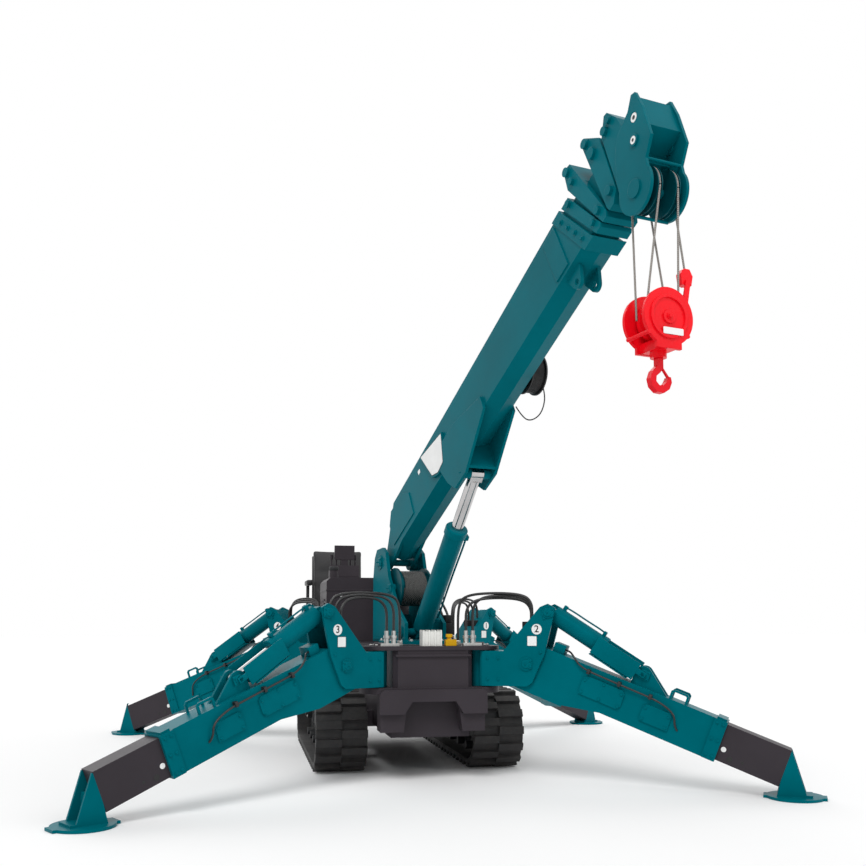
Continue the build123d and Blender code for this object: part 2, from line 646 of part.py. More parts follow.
with BuildPart() as boom_base:
    tube(boom_rear, boom_end_low, 0)
    collar(((boom_end_top - collar_band, boom_top + collar_rim), (boom_end_top, boom_top + collar_rim),
            (boom_end_low + 8, boom_ridge - collar_rim), (boom_end_low - collar_band, boom_ridge - collar_rim)),
           boom_half_width + collar_rim)
    with BuildSketch(boom_side.offset(-boom_half_width - collar_rim)):
        outline((boom_end_top, boom_top + 2 * collar_rim), (boom_end_top, boom_top),
                (boom_end_low, boom_ridge), (boom_end_low + 60, boom_ridge), (boom_end_low + 60, boom_top * 1.2))
        outline((boom_rear_slope, boom_top + 2), (boom_rear, boom_rear_height), (boom_rear - 5, boom_rear_height),
                (boom_rear - 5, boom_top + 2))
    extrude(amount=2 * (boom_half_width + collar_rim), mode=Mode.SUBTRACT)
    for near in (boom_half_width - foot_lug_thick, -boom_half_width):
        with BuildSketch(boom_side.offset(near)):
            disc((0, 0), foot_lug_r)
            outline((boom_rear, boom_rear_height), (boom_rear + 200, boom_rear_height),
                    (boom_rear + 200, 0), (boom_rear + 60, boom_ridge))
            make_hull()
        extrude(amount=foot_lug_thick)
    with BuildSketch(boom_side.offset(-boom_half_width)):
        disc((0, 0), foot_pin_r + running_clear)
    extrude(amount=2 * boom_half_width, mode=Mode.SUBTRACT)
    for near in (boom_half_width, -boom_half_width - 16):
        with BuildSketch(boom_side.offset(near)):
            outline((930, 150), (1040, -110), (1100, -192), (1255, -192), (1600, -20), (1600, 60), (1250, 150))
        extrude(amount=16)
    with BuildSketch(boom_side.offset(-boom_half_width)):
        outline((1277, -178), (1291, -172), (1291, -8), (1277, -8))
    extrude(amount=2 * boom_half_width)
    for near in (luff_eye_half + seat_gap, -boom_half_width):
        with BuildSketch(boom_side.offset(near)):
            disc(luff_eye, luff_eye_r)
        extrude(amount=boom_half_width - luff_eye_half - seat_gap)
    for near in (boss_half - boss_wall, -boss_half):
        with BuildSketch(boom_side.offset(near)):
            disc(boss_place, boss_r)
            outline((boss_place[0] - 60, -6), (boss_place[0] + 60, -6), (boss_place[0] + 60, -14), (boss_place[0] - 60, -14))
            make_hull()
            disc(boss_place, boss_hole_r, mode=Mode.SUBTRACT)
        extrude(amount=boss_wall)
    for near in (boom_half_width - 1, -boom_half_width - side_plate):
        with BuildSketch(boom_side.offset(near)):
            outline((150, 40), (150, 190), (215, 262), (420, 262), (520, 200), (520, 40))
            outline((boom_end_top - 190, 20), (boom_end_top - 190, 270), (boom_end_top - collar_band, 270),
                    (boom_end_top - collar_band, 20))
        extrude(amount=side_plate + 1)
    passage(section_start[2] - 50, boom_end_low + 60, section_step)
finish(boom_base.part, "boom_base")

for number in (2, 3, 4, 5):
    inset = section_step * (number - 1)
    with BuildPart() as section:
        collar(beyond(boom_end_top, *section_collars[number]))
        if number < 5:
            passage(section_start[number], sheave_along + 190, inset + section_step)
        tube(section_start[number], section_end[number], inset)
        if number == 2:
            with BuildSketch(boom_side.offset(-boom_half_width)):
                outline(*beyond(boom_end_top, (77, 310), (77, 300), (200, -20), (214, -60), (294, -60), (294, 310)))
            extrude(amount=2 * boom_half_width, mode=Mode.SUBTRACT)
        if number in section_knobs:
            for near in (boom_half_width - 1, -boom_half_width - knob_proud):
                with BuildSketch(boom_side.offset(near)):
                    for along, above, radius in section_knobs[number]:
                        disc((boom_end_top + along, above), radius)
                extrude(amount=knob_proud + 1)
        if number == 5:
            passage(section_start[number], head_front, inset + section_wall)
            for near in (boom_half_width, -boom_half_width - cheek_thick):
                with BuildSketch(boom_side.offset(near)):
                    disc((sheave_along, sheave_up), sheave_flange_r + guard_clear)
                    outline(*beyond(sheave_along, (-75, 0), (-20, 120), (30, 180), (138, 208), (190, 250), (214, 236),
                                    (214, 146), (190, -10), (116, sheave_up + 52), (102, sheave_up), (-94, sheave_up)))
                    disc((sheave_along + 152, 150), 22, mode=Mode.SUBTRACT)
                extrude(amount=cheek_thick)
                with BuildSketch(boom_side.offset(near - cheek_boss)):
                    disc((sheave_along, sheave_up), 40)
                    disc((sheave_along + 105, 60), 26)
                extrude(amount=cheek_thick + 2 * cheek_boss)
            with BuildSketch(boom_side.offset(-boom_half_width)):
                outline(*beyond(sheave_along, (40, 186), (190, 206), (190, 194), (40, 174)))
                outline(*beyond(sheave_along, (40, 60), (190, 70), (190, 58), (40, 48)))
                outline(*beyond(sheave_along, (178, 60), (190, 60), (208, 214), (196, 214)))
                disc((sheave_along + 112, sheave_up + 56), guard_r)
                disc((sheave_along - 69, sheave_up - 86), guard_r)
                disc((sheave_along, sheave_up), sheave_axle_r)
            extrude(amount=2 * boom_half_width)
    finish(section.part, f"boom_section_{number}")

with BuildPart() as head_sheaves:
    for to_right in sheave_lateral:
        with BuildSketch(boom_side.offset(-to_right - sheave_thick / 2)):
            disc((sheave_along, sheave_up), sheave_r)
            disc((sheave_along, sheave_up), sheave_axle_r + running_clear, mode=Mode.SUBTRACT)
        extrude(amount=sheave_thick)
        for near in (-sheave_thick / 2, sheave_thick / 2 - sheave_flange):
            with BuildSketch(boom_side.offset(-to_right + near)):
                disc((sheave_along, sheave_up), sheave_flange_r)
                disc((sheave_along, sheave_up), sheave_axle_r + running_clear, mode=Mode.SUBTRACT)
            extrude(amount=sheave_flange)
finish(head_sheaves.part, "head_sheaves")

# Cable reel on the boom's right side: hub against the boom, wound core between two flanges
reel_place = (1760.0, 110.0)
with BuildPart() as cable_reel:
    for near, thick, radius in ((0, 22, 52), (21, 8, reel_r), (28, 74, reel_r - 16), (101, 8, reel_r), (108, 26, 40)):
        with BuildSketch(boom_side.offset(-boom_half_width - seat_gap - near - thick)):
            disc(reel_place, radius)
        extrude(amount=thick)
finish(cable_reel.part, "cable_reel")


# Cylinders: a barrel with its foot eye, and a rod with its eye


luff_start = slew_axis + ahead * luff_foot[0] + up_z * luff_foot[1]
luff_end = foot + boom_dir * luff_eye[0] + boom_up * luff_eye[1]
luff_dir = (luff_end - luff_start).normalized()
luff_span = (luff_end - luff_start).length
luff_plane = Plane(origin=luff_start, x_dir=luff_dir, z_dir=left)


def barrel_shape(plane, length, radius, bore, eye_r, eye_half, pin_r):
    """A barrel with its foot eye at the plane's origin and its mouth at the length."""
    middle = Axis(plane.origin, plane.x_dir)
    with BuildSketch(plane) as body:
        outline((eye_r * 0.8, 0), (eye_r * 0.8, radius), (length, radius), (length, 0))
    revolve(body.sketch, axis=middle)
    with BuildSketch(plane.offset(-eye_half)) as eye:
        disc((0, 0), eye_r)
        outline((0, -eye_r * 0.9), (eye_r + 10, -eye_r * 0.9), (eye_r + 10, eye_r * 0.9), (0, eye_r * 0.9))
    extrude(eye.sketch, amount=2 * eye_half)
    with BuildSketch(plane.offset(-radius)) as pin:
        disc((0, 0), pin_r + running_clear)
    extrude(pin.sketch, amount=2 * radius, mode=Mode.SUBTRACT)
    with BuildSketch(plane) as hollow:
        outline((eye_r + bore_start, 0), (eye_r + bore_start, bore), (length, bore), (length, 0))
    revolve(hollow.sketch, axis=middle, mode=Mode.SUBTRACT)


def rod_shape(plane, span, length, radius, eye_r, eye_half, pin_r):
    """A rod whose eye is at the span from the plane's origin."""
    with BuildSketch(plane) as body:
        outline((span - length, 0), (span - length, radius), (span - eye_r - 8, radius), (span - eye_r - 8, 0))
    revolve(body.sketch, axis=Axis(plane.origin, plane.x_dir))
    with BuildSketch(plane.offset(-eye_half)) as eye:
        disc((span, 0), eye_r)
        outline((span - eye_r - 10, -radius * 0.8), (span, -radius * 0.8), (span, radius * 0.8),
                (span - eye_r - 10, radius * 0.8))
    extrude(eye.sketch, amount=2 * eye_half)
    with BuildSketch(plane.offset(-eye_half)) as hole:
        disc((span, 0), pin_r)
    extrude(hole.sketch, amount=2 * eye_half, mode=Mode.SUBTRACT)


with BuildPart() as luff_barrel:
    barrel_shape(luff_plane, luff_barrel_length, luff_barrel_r, luff_rod_r + running_clear,
                 luff_foot_r, luff_eye_half, foot_pin_r)
finish(luff_barrel.part, "luff_barrel")
with BuildPart() as luff_rod:
    rod_shape(luff_plane, luff_span, luff_rod_length, luff_rod_r, luff_eye_r, luff_eye_half, foot_pin_r - 6)
finish(luff_rod.part, "luff_rod")

# Hook block hanging from the head on four falls
sheave_centre = foot + boom_dir * sheave_along + boom_up * sheave_up
block_plane = Plane(origin=sheave_centre - up_z * block_drop, x_dir=-left, z_dir=ahead)
fall_reach = sheave_r + rope_r + seat_gap
fall_slope = atan2(fall_reach - 30, block_drop)
block_sheave_r = 78.0
block_lateral = sum(sheave_lateral) / 2
dead_low = sheave_centre - up_z * (socket_drop - 36 - 3 * seat_gap) - left * socket_lateral + ahead * 30
dead_top = sheave_centre - up_z * dead_drop - left * dead_lateral + ahead * 30
with BuildPart() as rope_falls:
    for to_right, block_side in zip(sheave_lateral, (-1, 1)):
        for fore in (-1, 1):
            top = (sheave_centre - left * to_right + ahead * (fore * fall_reach * cos(fall_slope))
                   - up_z * (fall_reach * sin(fall_slope)))
            low = (sheave_centre - up_z * block_drop
                   - left * (block_lateral + block_side * (block_sheave_r + rope_r)) + ahead * (fore * 30))
            with BuildSketch(Plane(origin=top, z_dir=low - top)):
                Circle(rope_r)
            extrude(amount=(low - top).length)
    with BuildSketch(Plane(origin=dead_top, z_dir=dead_low - dead_top)):
        Circle(rope_r)
    extrude(amount=(dead_low - dead_top).length)
finish(rope_falls.part, "rope_falls")

with BuildPart() as hook_block:
    for near in (block_half_thick - cheek_plate, -block_half_thick):
        with BuildSketch(block_plane.offset(near)):
            disc((block_lateral, 0), block_r)
            outline((block_lateral - 62, -block_r - 10), (block_lateral + 62, -block_r - 10),
                    (block_lateral + 62, 0), (block_lateral - 62, 0))
        extrude(amount=cheek_plate)
    for near in (block_half_thick - 1, -block_half_thick - 7):
        with BuildSketch(block_plane.offset(near)):
            disc((block_lateral, 0), block_r - 30)
            disc((block_lateral, 0), block_r - 44, mode=Mode.SUBTRACT)
            disc((block_lateral, 0), 30)
        extrude(amount=8)
    with BuildSketch(block_plane.offset(-block_half_thick)):
        disc((block_lateral, 0), 24)
        outline((block_lateral - 45, -block_r - 8), (block_lateral + 45, -block_r - 8),
                (block_lateral + 45, -block_r + 34), (block_lateral - 45, -block_r + 34))
        disc((block_lateral - 96, -72), 9)
        disc((block_lateral + 96, -72), 9)
        disc((block_lateral + link_pin[0], link_pin[1]), link_pin_r)
    extrude(amount=2 * block_half_thick)
    for fore in (-30, 30):
        with BuildSketch(block_plane.offset(fore - 10)):
            disc((block_lateral, 0), block_sheave_r - 2 * seat_gap)
        extrude(amount=20)
    with BuildSketch(Plane(origin=sheave_centre - up_z * (block_drop + block_r + 34) - left * block_lateral, z_dir=up_z)):
        Circle(34)
    extrude(amount=28)
finish(hook_block.part, "hook_block")

hook_points = ((-13, 93.7), (-13, 62), (-40, 36), (-52, 4), (-44, -28), (-18, -50), (14, -52), (42, -34), (54, -6),
               (50, 16), (40, 18), (30, -2), (14, -20), (-8, -22), (-24, -6), (-22, 16), (-4, 30), (13, 52), (13, 93.7))
with BuildPart() as hook:
    bowl = (block_lateral, block_drop - hook_drop)
    with BuildSketch(block_plane.offset(-hook_thick / 2)):
        outline(*[(bowl[0] + x, bowl[1] + y) for x, y in hook_points])
    extrude(amount=hook_thick)
    with BuildSketch(block_plane.offset(-5)):
        outline((bowl[0] + 6, bowl[1] + 62), (bowl[0] + 14, bowl[1] + 62), (bowl[0] + 50, bowl[1] + 17),
                (bowl[0] + 42, bowl[1] + 14))
    extrude(amount=10)
finish(hook.part, "hook")

# Wedge socket that holds the rope's end, above the block's right
with BuildPart() as rope_socket:
    socket_place = sheave_centre - up_z * socket_drop - left * socket_lateral + ahead * 30
    with BuildSketch(Plane(origin=socket_place, x_dir=-left, z_dir=ahead).offset(-15)):
        outline((-26, -34), (-32, 14), (-14, 36), (14, 36), (30, 8), (22, -34))
    extrude(amount=30)
    with BuildSketch(Plane(origin=socket_place, x_dir=-left, z_dir=ahead).offset(-22)):
        disc((0, -22), 11)
    extrude(amount=44)
    with BuildSketch(Plane(origin=socket_place, x_dir=-left, z_dir=ahead).offset(16)):
        link_end = (block_lateral + link_pin[0] - socket_lateral, socket_drop - block_drop + link_pin[1])
        outline((-12, -18), (12, -18), (link_end[0] + 13, link_end[1]), (link_end[0] - 13, link_end[1]))
        disc((0, -22), 13)
        disc(link_end, 14)
        disc(link_end, link_pin_r + seat_gap, mode=Mode.SUBTRACT)
    extrude(amount=8)
finish(rope_socket.part, "rope_socket")

# Outriggers
barrel_run = hypot(leg_eye[0] - leg_pin[0], leg_eye[1] - leg_pin[1])
plate_near = arm_half_width + bracket_clear
beam_half = arm_half_width - arm_wall - beam_gap
for end, (pivot_x, pivot_y) in (("front", front_pivot), ("rear", rear_pivot)):
    for side, sign in (("left", -1), ("right", 1)):
        swing = radians(leg_heading[end]) * (-1 if end == "front" else 1)
        outwards = Vector(sign * cos(swing), sin(swing), 0)
        across = outwards.cross(up_z)
        base = Vector(sign * pivot_x, pivot_y, 0)
        leg_plane = Plane(origin=base, x_dir=outwards, z_dir=across)
        arm_dir = outwards * cos(radians(arm_pitch)) - up_z * sin(radians(arm_pitch))
        arm_start = base + outwards * arm_pin[0] + up_z * arm_pin[1]
        arm_plane = Plane(origin=arm_start, x_dir=arm_dir, z_dir=across)
        arm_up = across.cross(arm_dir)
        name = f"{end}_{side}"

        with BuildPart() as bracket:
            with BuildSketch(Plane(origin=base + up_z * (lower_plate_top + seat_gap), z_dir=up_z)):
                Circle(sleeve_r)
                Circle(pivot_pin_r + running_clear, mode=Mode.SUBTRACT)
            extrude(amount=deck_z - lower_plate_top - 2 * seat_gap)
            for near in (plate_near, -plate_near - bracket_plate):
                with BuildSketch(leg_plane.offset(near)):
                    outline((49, 545), (49, 747), (180, 747), (400, 1000), (445, 1018), (488, 995), (465, 893),
                            (422, 727), (350, 570), (320, 548))
                extrude(amount=bracket_plate)
            with BuildSketch(leg_plane.offset(-plate_near)):
                outline((35, 545), (35, 747), (60, 747), (60, 545))
                outline((60, 747), (180, 747), (395, 995), (405, 985), (190, 733), (60, 733))
                outline((60, 545), (60, 556), (150, 556), (150, 545))
            extrude(amount=2 * plate_near)
            with BuildSketch(Plane(origin=base + up_z * lower_plate_top, z_dir=up_z)):
                Circle(pivot_pin_r + running_clear)
            extrude(amount=deck_z - lower_plate_top, mode=Mode.SUBTRACT)
            with BuildSketch(leg_plane.offset(-plate_near)):
                disc(arm_pin, arm_pin_r)
                disc(leg_pin, leg_pin_r)
            extrude(amount=2 * plate_near)
            for near in (plate_near + bracket_plate - 1, -plate_near - bracket_plate - rib_proud):
                with BuildSketch(leg_plane.offset(near)):
                    disc(arm_pin, arm_pin_r + 16)
                    disc(leg_pin, leg_pin_r + 18)
                extrude(amount=rib_proud + 1)
        finish(bracket.part, f"bracket_{name}")

        with BuildPart() as arm:
            with BuildSketch(arm_plane.offset(-arm_half_width)):
                outline((arm_root, arm_root_low + 60), (-20, arm_root_low), (232, arm_root_low), (480, arm_low),
                        (arm_length, arm_low), (arm_length, arm_high), (60, arm_high), (arm_root, 40))
            extrude(amount=2 * arm_half_width)
            with BuildSketch(arm_plane.offset(-beam_half - beam_gap)):
                outline((100, arm_low + arm_wall), (100, arm_high - arm_wall),
                        (arm_length - 40, arm_high - arm_wall), (arm_length - 40, arm_low + arm_wall))
            extrude(amount=2 * (beam_half + beam_gap), mode=Mode.SUBTRACT)
            with BuildSketch(arm_plane.offset(-beam_half - seat_gap)):
                outline((arm_length - 50, arm_low + arm_wall + beam_gap - seat_gap),
                        (arm_length - 50, arm_high - arm_wall - beam_gap + seat_gap),
                        (arm_length, arm_high - arm_wall - beam_gap + seat_gap),
                        (arm_length, arm_low + arm_wall + beam_gap - seat_gap))
            extrude(amount=2 * (beam_half + seat_gap), mode=Mode.SUBTRACT)
            with BuildSketch(arm_plane.offset(-arm_half_width)):
                disc((0, 0), arm_pin_r + running_clear)
            extrude(amount=2 * arm_half_width, mode=Mode.SUBTRACT)
            eye_s = (leg_eye[0] - arm_pin[0]) * cos(radians(arm_pitch)) - (leg_eye[1] - arm_pin[1]) * sin(
                radians(arm_pitch))
            eye_t = (leg_eye[0] - arm_pin[0]) * sin(radians(arm_pitch)) + (leg_eye[1] - arm_pin[1]) * cos(
                radians(arm_pitch))
            for near in (leg_eye_half + 6, -leg_eye_half - 6 - 16):
                with BuildSketch(arm_plane.offset(near)):
                    disc((eye_s, eye_t), 45)
                    outline((eye_s - 50, arm_high), (eye_s + 160, arm_high), (eye_s + 160, arm_high - 4),
                            (eye_s - 50, arm_high - 4))
                    make_hull()
                extrude(amount=16)
            for near in (leg_eye_half + 6 + 15, -leg_eye_half - 6 - 16 - 9):
                with BuildSketch(arm_plane.offset(near)):
                    disc((eye_s, eye_t), 26)
                extrude(amount=10)
            for near in (arm_half_width - 1, -arm_half_width - cover_proud):
                with BuildSketch(arm_plane.offset(near)):
                    outline((330, -40), (330, 52), (352, 70), (560, 70), (575, 50), (575, -20), (560, -40))
                    outline((690, -46), (690, 36), (706, 52), (835, 52), (850, 36), (850, -46))
                    outline((arm_length - 70, arm_low), (arm_length - 70, arm_high), (arm_length, arm_high),
                            (arm_length, arm_low))
                extrude(amount=cover_proud + 1)
            with BuildSketch(arm_plane.offset(-arm_half_width)):
                outline((arm_length - 60, arm_high - 2), (arm_length - 60, arm_high + 12), (arm_length - 8, arm_high + 12),
                        (arm_length - 8, arm_high - 2))
            extrude(amount=2 * arm_half_width)
            for near in (arm_half_width - 20, -arm_half_width + 8):
                with BuildSketch(arm_plane.offset(near)):
                    outline((800, arm_high - 2), (800, arm_high + 44), (812, arm_high + 56), (888, arm_high + 56),
                            (900, arm_high + 44), (900, arm_high - 2), (888, arm_high - 2), (888, arm_high + 38),
                            (882, arm_high + 44), (818, arm_high + 44), (812, arm_high + 38), (812, arm_high - 2))
                extrude(amount=12)
        finish(arm.part, f"arm_{name}")

        reach = beam_reach[end]
        with BuildPart() as beam:
            with BuildSketch(arm_plane.offset(-beam_half)):
                outline((beam_tail + reach, arm_low + arm_wall + beam_gap),
                        (beam_tail + reach, arm_high - arm_wall - beam_gap),
                        (beam_length + reach, arm_high - arm_wall - beam_gap),
                        (beam_length + reach, arm_low + arm_wall + beam_gap))
            extrude(amount=2 * beam_half)
        finish(beam.part, f"beam_{name}")

        pad_place = arm_start + arm_dir * (beam_length + reach) + arm_up * 10
        pad_r_place = (pad_place - base).dot(outwards) + 45
        with BuildPart() as pad:
            with BuildSketch(Plane(origin=base + outwards * pad_r_place, x_dir=outwards, z_dir=up_z)):
                Circle(pad_r)
                Rectangle(2 * pad_r + 24, 90)
            extrude(amount=pad_thick)
            with BuildSketch(Plane(origin=base + outwards * pad_r_place, x_dir=outwards, z_dir=up_z)):
                Rectangle(pad_r * 1.2, 2 * beam_half)
            extrude(amount=pad_thick + 12)
            with BuildSketch(leg_plane.offset(-beam_half)):
                outline((pad_r_place - 18, pad_thick), (pad_r_place - 6, pad_thick), (pad_r_place - 6, 150),
                        (pad_r_place - 18, 150))
            extrude(amount=2 * beam_half)
            tip = (beam_length + reach, arm_low + arm_wall + beam_gap)
            for near in (beam_half - 14, -beam_half):
                with BuildSketch(leg_plane.offset(near)):
                    outline((pad_r_place - 90, pad_thick), (pad_r_place + 60, pad_thick),
                            (pad_r_place - 5, 245), (pad_r_place - 25, 240))
                extrude(amount=14)
            with BuildSketch(arm_plane.offset(-beam_half)):
                outline((tip[0] - 200, tip[1] - seat_gap), (tip[0] + seat_gap, tip[1] - seat_gap),
                        (tip[0] + seat_gap, arm_high), (tip[0] - 200, arm_high))
            extrude(amount=2 * beam_half, mode=Mode.SUBTRACT)
        finish(pad.part, f"pad_{name}")

        cylinder_dir = (outwards * (leg_eye[0] - leg_pin[0]) + up_z * (leg_eye[1] - leg_pin[1])) / barrel_run
        cylinder = Plane(origin=base + outwards * leg_pin[0] + up_z * leg_pin[1], x_dir=cylinder_dir, z_dir=across)
        with BuildPart() as barrel:
            barrel_shape(cylinder, leg_barrel_length, leg_barrel_r, leg_rod_r + running_clear,
                         leg_eye_r, leg_eye_half, leg_pin_r)
        finish(barrel.part, f"barrel_{name}")
        with BuildPart() as rod:
            rod_shape(cylinder, barrel_run, leg_rod_length, leg_rod_r, leg_eye_r, leg_eye_half, leg_pin_r)
        finish(rod.part, f"rod_{name}")
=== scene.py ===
import json
import math

import bpy
from mathutils import Matrix, Vector


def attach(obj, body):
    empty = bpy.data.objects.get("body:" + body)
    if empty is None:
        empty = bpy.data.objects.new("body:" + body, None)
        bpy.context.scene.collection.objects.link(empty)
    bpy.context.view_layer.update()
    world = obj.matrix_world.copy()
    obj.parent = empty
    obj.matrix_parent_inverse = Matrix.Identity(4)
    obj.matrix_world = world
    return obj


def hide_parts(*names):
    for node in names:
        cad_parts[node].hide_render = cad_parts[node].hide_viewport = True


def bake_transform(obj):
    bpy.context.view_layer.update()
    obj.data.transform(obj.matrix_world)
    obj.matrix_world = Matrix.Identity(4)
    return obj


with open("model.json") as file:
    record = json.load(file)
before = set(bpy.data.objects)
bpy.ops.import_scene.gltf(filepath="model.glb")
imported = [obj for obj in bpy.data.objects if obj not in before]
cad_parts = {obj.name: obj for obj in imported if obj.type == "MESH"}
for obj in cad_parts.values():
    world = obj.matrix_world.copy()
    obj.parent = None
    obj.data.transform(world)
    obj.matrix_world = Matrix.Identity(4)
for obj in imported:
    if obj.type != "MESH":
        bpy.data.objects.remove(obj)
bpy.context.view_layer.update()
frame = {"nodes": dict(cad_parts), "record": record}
bpy.ops.object.select_all(action="DESELECT")
nodes = frame["nodes"]
print("frame loaded:", len(nodes), "nodes")

# The machine's own directions, in metres, as the CAD source has them
slewAxis = Vector((0.0, 0.09265, 0.0))
slewHeading = math.radians(13.0)
luffAngle = math.radians(29.0)
upZ = Vector((0, 0, 1))
ahead = Vector((math.sin(slewHeading), -math.cos(slewHeading), 0))
leftward = Vector((-math.cos(slewHeading), -math.sin(slewHeading), 0))
boomDir = ahead * math.cos(luffAngle) + upZ * math.sin(luffAngle)
boomFoot = slewAxis - ahead * 0.277 + upZ * 1.3


# Camera, floor and lights
camera = {
    "place": (-1.0957, -5.934, 0.945),
    "heading": 11.31,      # degrees, turned right from +Y
    "pitch": 5.81,
    "lens": 39.87,
    "shiftY": 0.0993,
}


def makeCamera():
    lens = bpy.data.cameras.new("camera")
    lens.lens = camera["lens"]
    lens.sensor_width = 36
    lens.shift_y = camera["shiftY"]
    lens.clip_start, lens.clip_end = 0.05, 100
    seer = bpy.data.objects.new("camera", lens)
    bpy.context.scene.collection.objects.link(seer)
    seer.location = camera["place"]
    seer.rotation_euler = (math.radians(90 + camera["pitch"]), 0, -math.radians(camera["heading"]))
    bpy.context.scene.camera = seer


# Materials: a socket that takes part in sums, and one maker for any other node
class Wire:
    def __init__(self, tree, out):
        self.tree = tree
        self.out = out

    def sum(self, operation, other, turned=False):
        node = self.tree.nodes.new("ShaderNodeMath")
        node.operation = operation
        for socket, value in zip(node.inputs, (other, self) if turned else (self, other)):
            if isinstance(value, Wire):
                self.tree.links.new(value.out, socket)
            else:
                socket.default_value = value
        return Wire(self.tree, node.outputs[0])

    def __add__(self, other):
        return self.sum("ADD", other)

    def __radd__(self, other):
        return self.sum("ADD", other, True)

    def __sub__(self, other):
        return self.sum("SUBTRACT", other)

    def __rsub__(self, other):
        return self.sum("SUBTRACT", other, True)

    def __mul__(self, other):
        return self.sum("MULTIPLY", other)

    def __rmul__(self, other):
        return self.sum("MULTIPLY", other, True)

    def __gt__(self, other):
        return self.sum("GREATER_THAN", other)

    def __pow__(self, other):
        return self.sum("POWER", other)


def linear(red, green, blue):
    return tuple((c / 255 / 12.92 if c <= 10 else ((c / 255 + 0.055) / 1.055) ** 2.4) for c in (red, green,
                                                                                                blue)) + (1,)


class Finish:
    def __init__(self, name):
        self.material = bpy.data.materials.new(name)
        self.material.use_nodes = True
        self.tree = self.material.node_tree
        self.shader = self.tree.nodes["Principled BSDF"]
        self.place = self.node("TexCoord", out="Object")

    def node(self, kind, settings=(), inputs=(), out=0):
        made = self.tree.nodes.new("ShaderNode" + kind)
        for key, value in dict(settings).items():
            if key == "stops":
                ramp = made.color_ramp
                for index, (where, shade) in enumerate(value):
                    stop = ramp.elements[index] if index < 2 else ramp.elements.new(where)
                    stop.position = where
                    stop.color = shade if hasattr(shade, "__len__") else (shade, shade, shade, 1)
            else:
                setattr(made, key, value)
        for key, value in dict(inputs).items():
            if isinstance(value, Wire):
                self.tree.links.new(value.out, made.inputs[key])
            else:
                made.inputs[key].default_value = value
        return Wire(self.tree, made.outputs[out])

    def noise(self, scale, detail=4, rough=0.6):
        return self.node("TexNoise",
                         inputs={"Vector": self.place, "Scale": scale, "Detail": detail, "Roughness": rough})

    def ramp(self, value, low, high, dark=0.0, light=1.0):
        return self.node("MapRange", {"clamp": True}, {0: value, 1: low, 2: high, 3: dark, 4: light})

    def mix(self, share, first, second):
        return self.node("Mix", {"data_type": "RGBA"}, {0: share, 6: first, 7: second}, out=2)

    def edges(self, radius=0.004):
        rounded = self.node("Bevel", {"samples": 4}, {"Radius": radius})
        flat = self.node("NewGeometry", out="Normal")
        same = self.node("VectorMath", {"operation": "DOT_PRODUCT"}, {0: rounded, 1: flat}, out="Value")
        return rounded, 1 - same

    def up(self):
        normal = self.node("NewGeometry", out="Normal")
        return self.node("SeparateXYZ", inputs={0: normal}, out=2)

    def bump(self, height, strength, distance, normal=None):
        inputs = {"Height": height, "Strength": strength, "Distance": distance}
        if normal is not None:
            inputs["Normal"] = normal
        return self.node("Bump", inputs=inputs)

    def set(self, **values):
        for key, value in values.items():
            socket = self.shader.inputs[{"color": "Base Color", "rough": "Roughness", "metal": "Metallic",
                                         "normal": "Normal", "coat": "Coat Weight",
                                         "coatRough": "Coat Roughness", "gloss": "Specular IOR Level",
                                         "tint": "Specular Tint"}[key]]
            if isinstance(value, Wire):
                self.tree.links.new(value.out, socket)
            else:
                socket.default_value = value


light = {
    "key": dict(turn=(42, 0, -28), strength=1.45, soft=26),
    "fill": dict(turn=(55, 0, 55), strength=0.6, soft=40),
    "back": dict(turn=(-50, 0, 10), strength=0.55, soft=40),
    "world": 0.5,
}


def makeLights():
    for name in ("key", "fill", "back"):
        lamp = bpy.data.lights.new(name, "SUN")
        lamp.energy = light[name]["strength"]
        lamp.angle = math.radians(light[name]["soft"])
        holder = bpy.data.objects.new(name, lamp)
        bpy.context.scene.collection.objects.link(holder)
        holder.rotation_euler = [math.radians(a) for a in light[name]["turn"]]
    sky = bpy.data.worlds.new("studio")
    bpy.context.scene.world = sky
    sky.use_nodes = True
    tree = sky.node_tree
    plain = tree.nodes["Background"]
    plain.inputs["Color"].default_value = (1, 1, 1, 1)
    plain.inputs["Strength"].default_value = light["world"]
    seen = tree.nodes.new("ShaderNodeBackground")
    seen.inputs["Color"].default_value = (1, 1, 1, 1)
    path = tree.nodes.new("ShaderNodeLightPath")
    mixed = tree.nodes.new("ShaderNodeMixShader")
    either = Wire(tree, path.outputs["Is Camera Ray"]).sum("MAXIMUM",
                                                           Wire(tree, path.outputs["Is Glossy Ray"]))
    either = either.sum("MAXIMUM", Wire(tree, path.outputs["Is Transmission Ray"]))
    tree.links.new(either.out, mixed.inputs[0])
    tree.links.new(plain.outputs[0], mixed.inputs[1])
    tree.links.new(seen.outputs[0], mixed.inputs[2])
    tree.links.new(mixed.outputs[0], tree.nodes["World Output"].inputs[0])


def darker(shade, share):
    return tuple(min(1, c * share) for c in shade[:3]) + (1,)


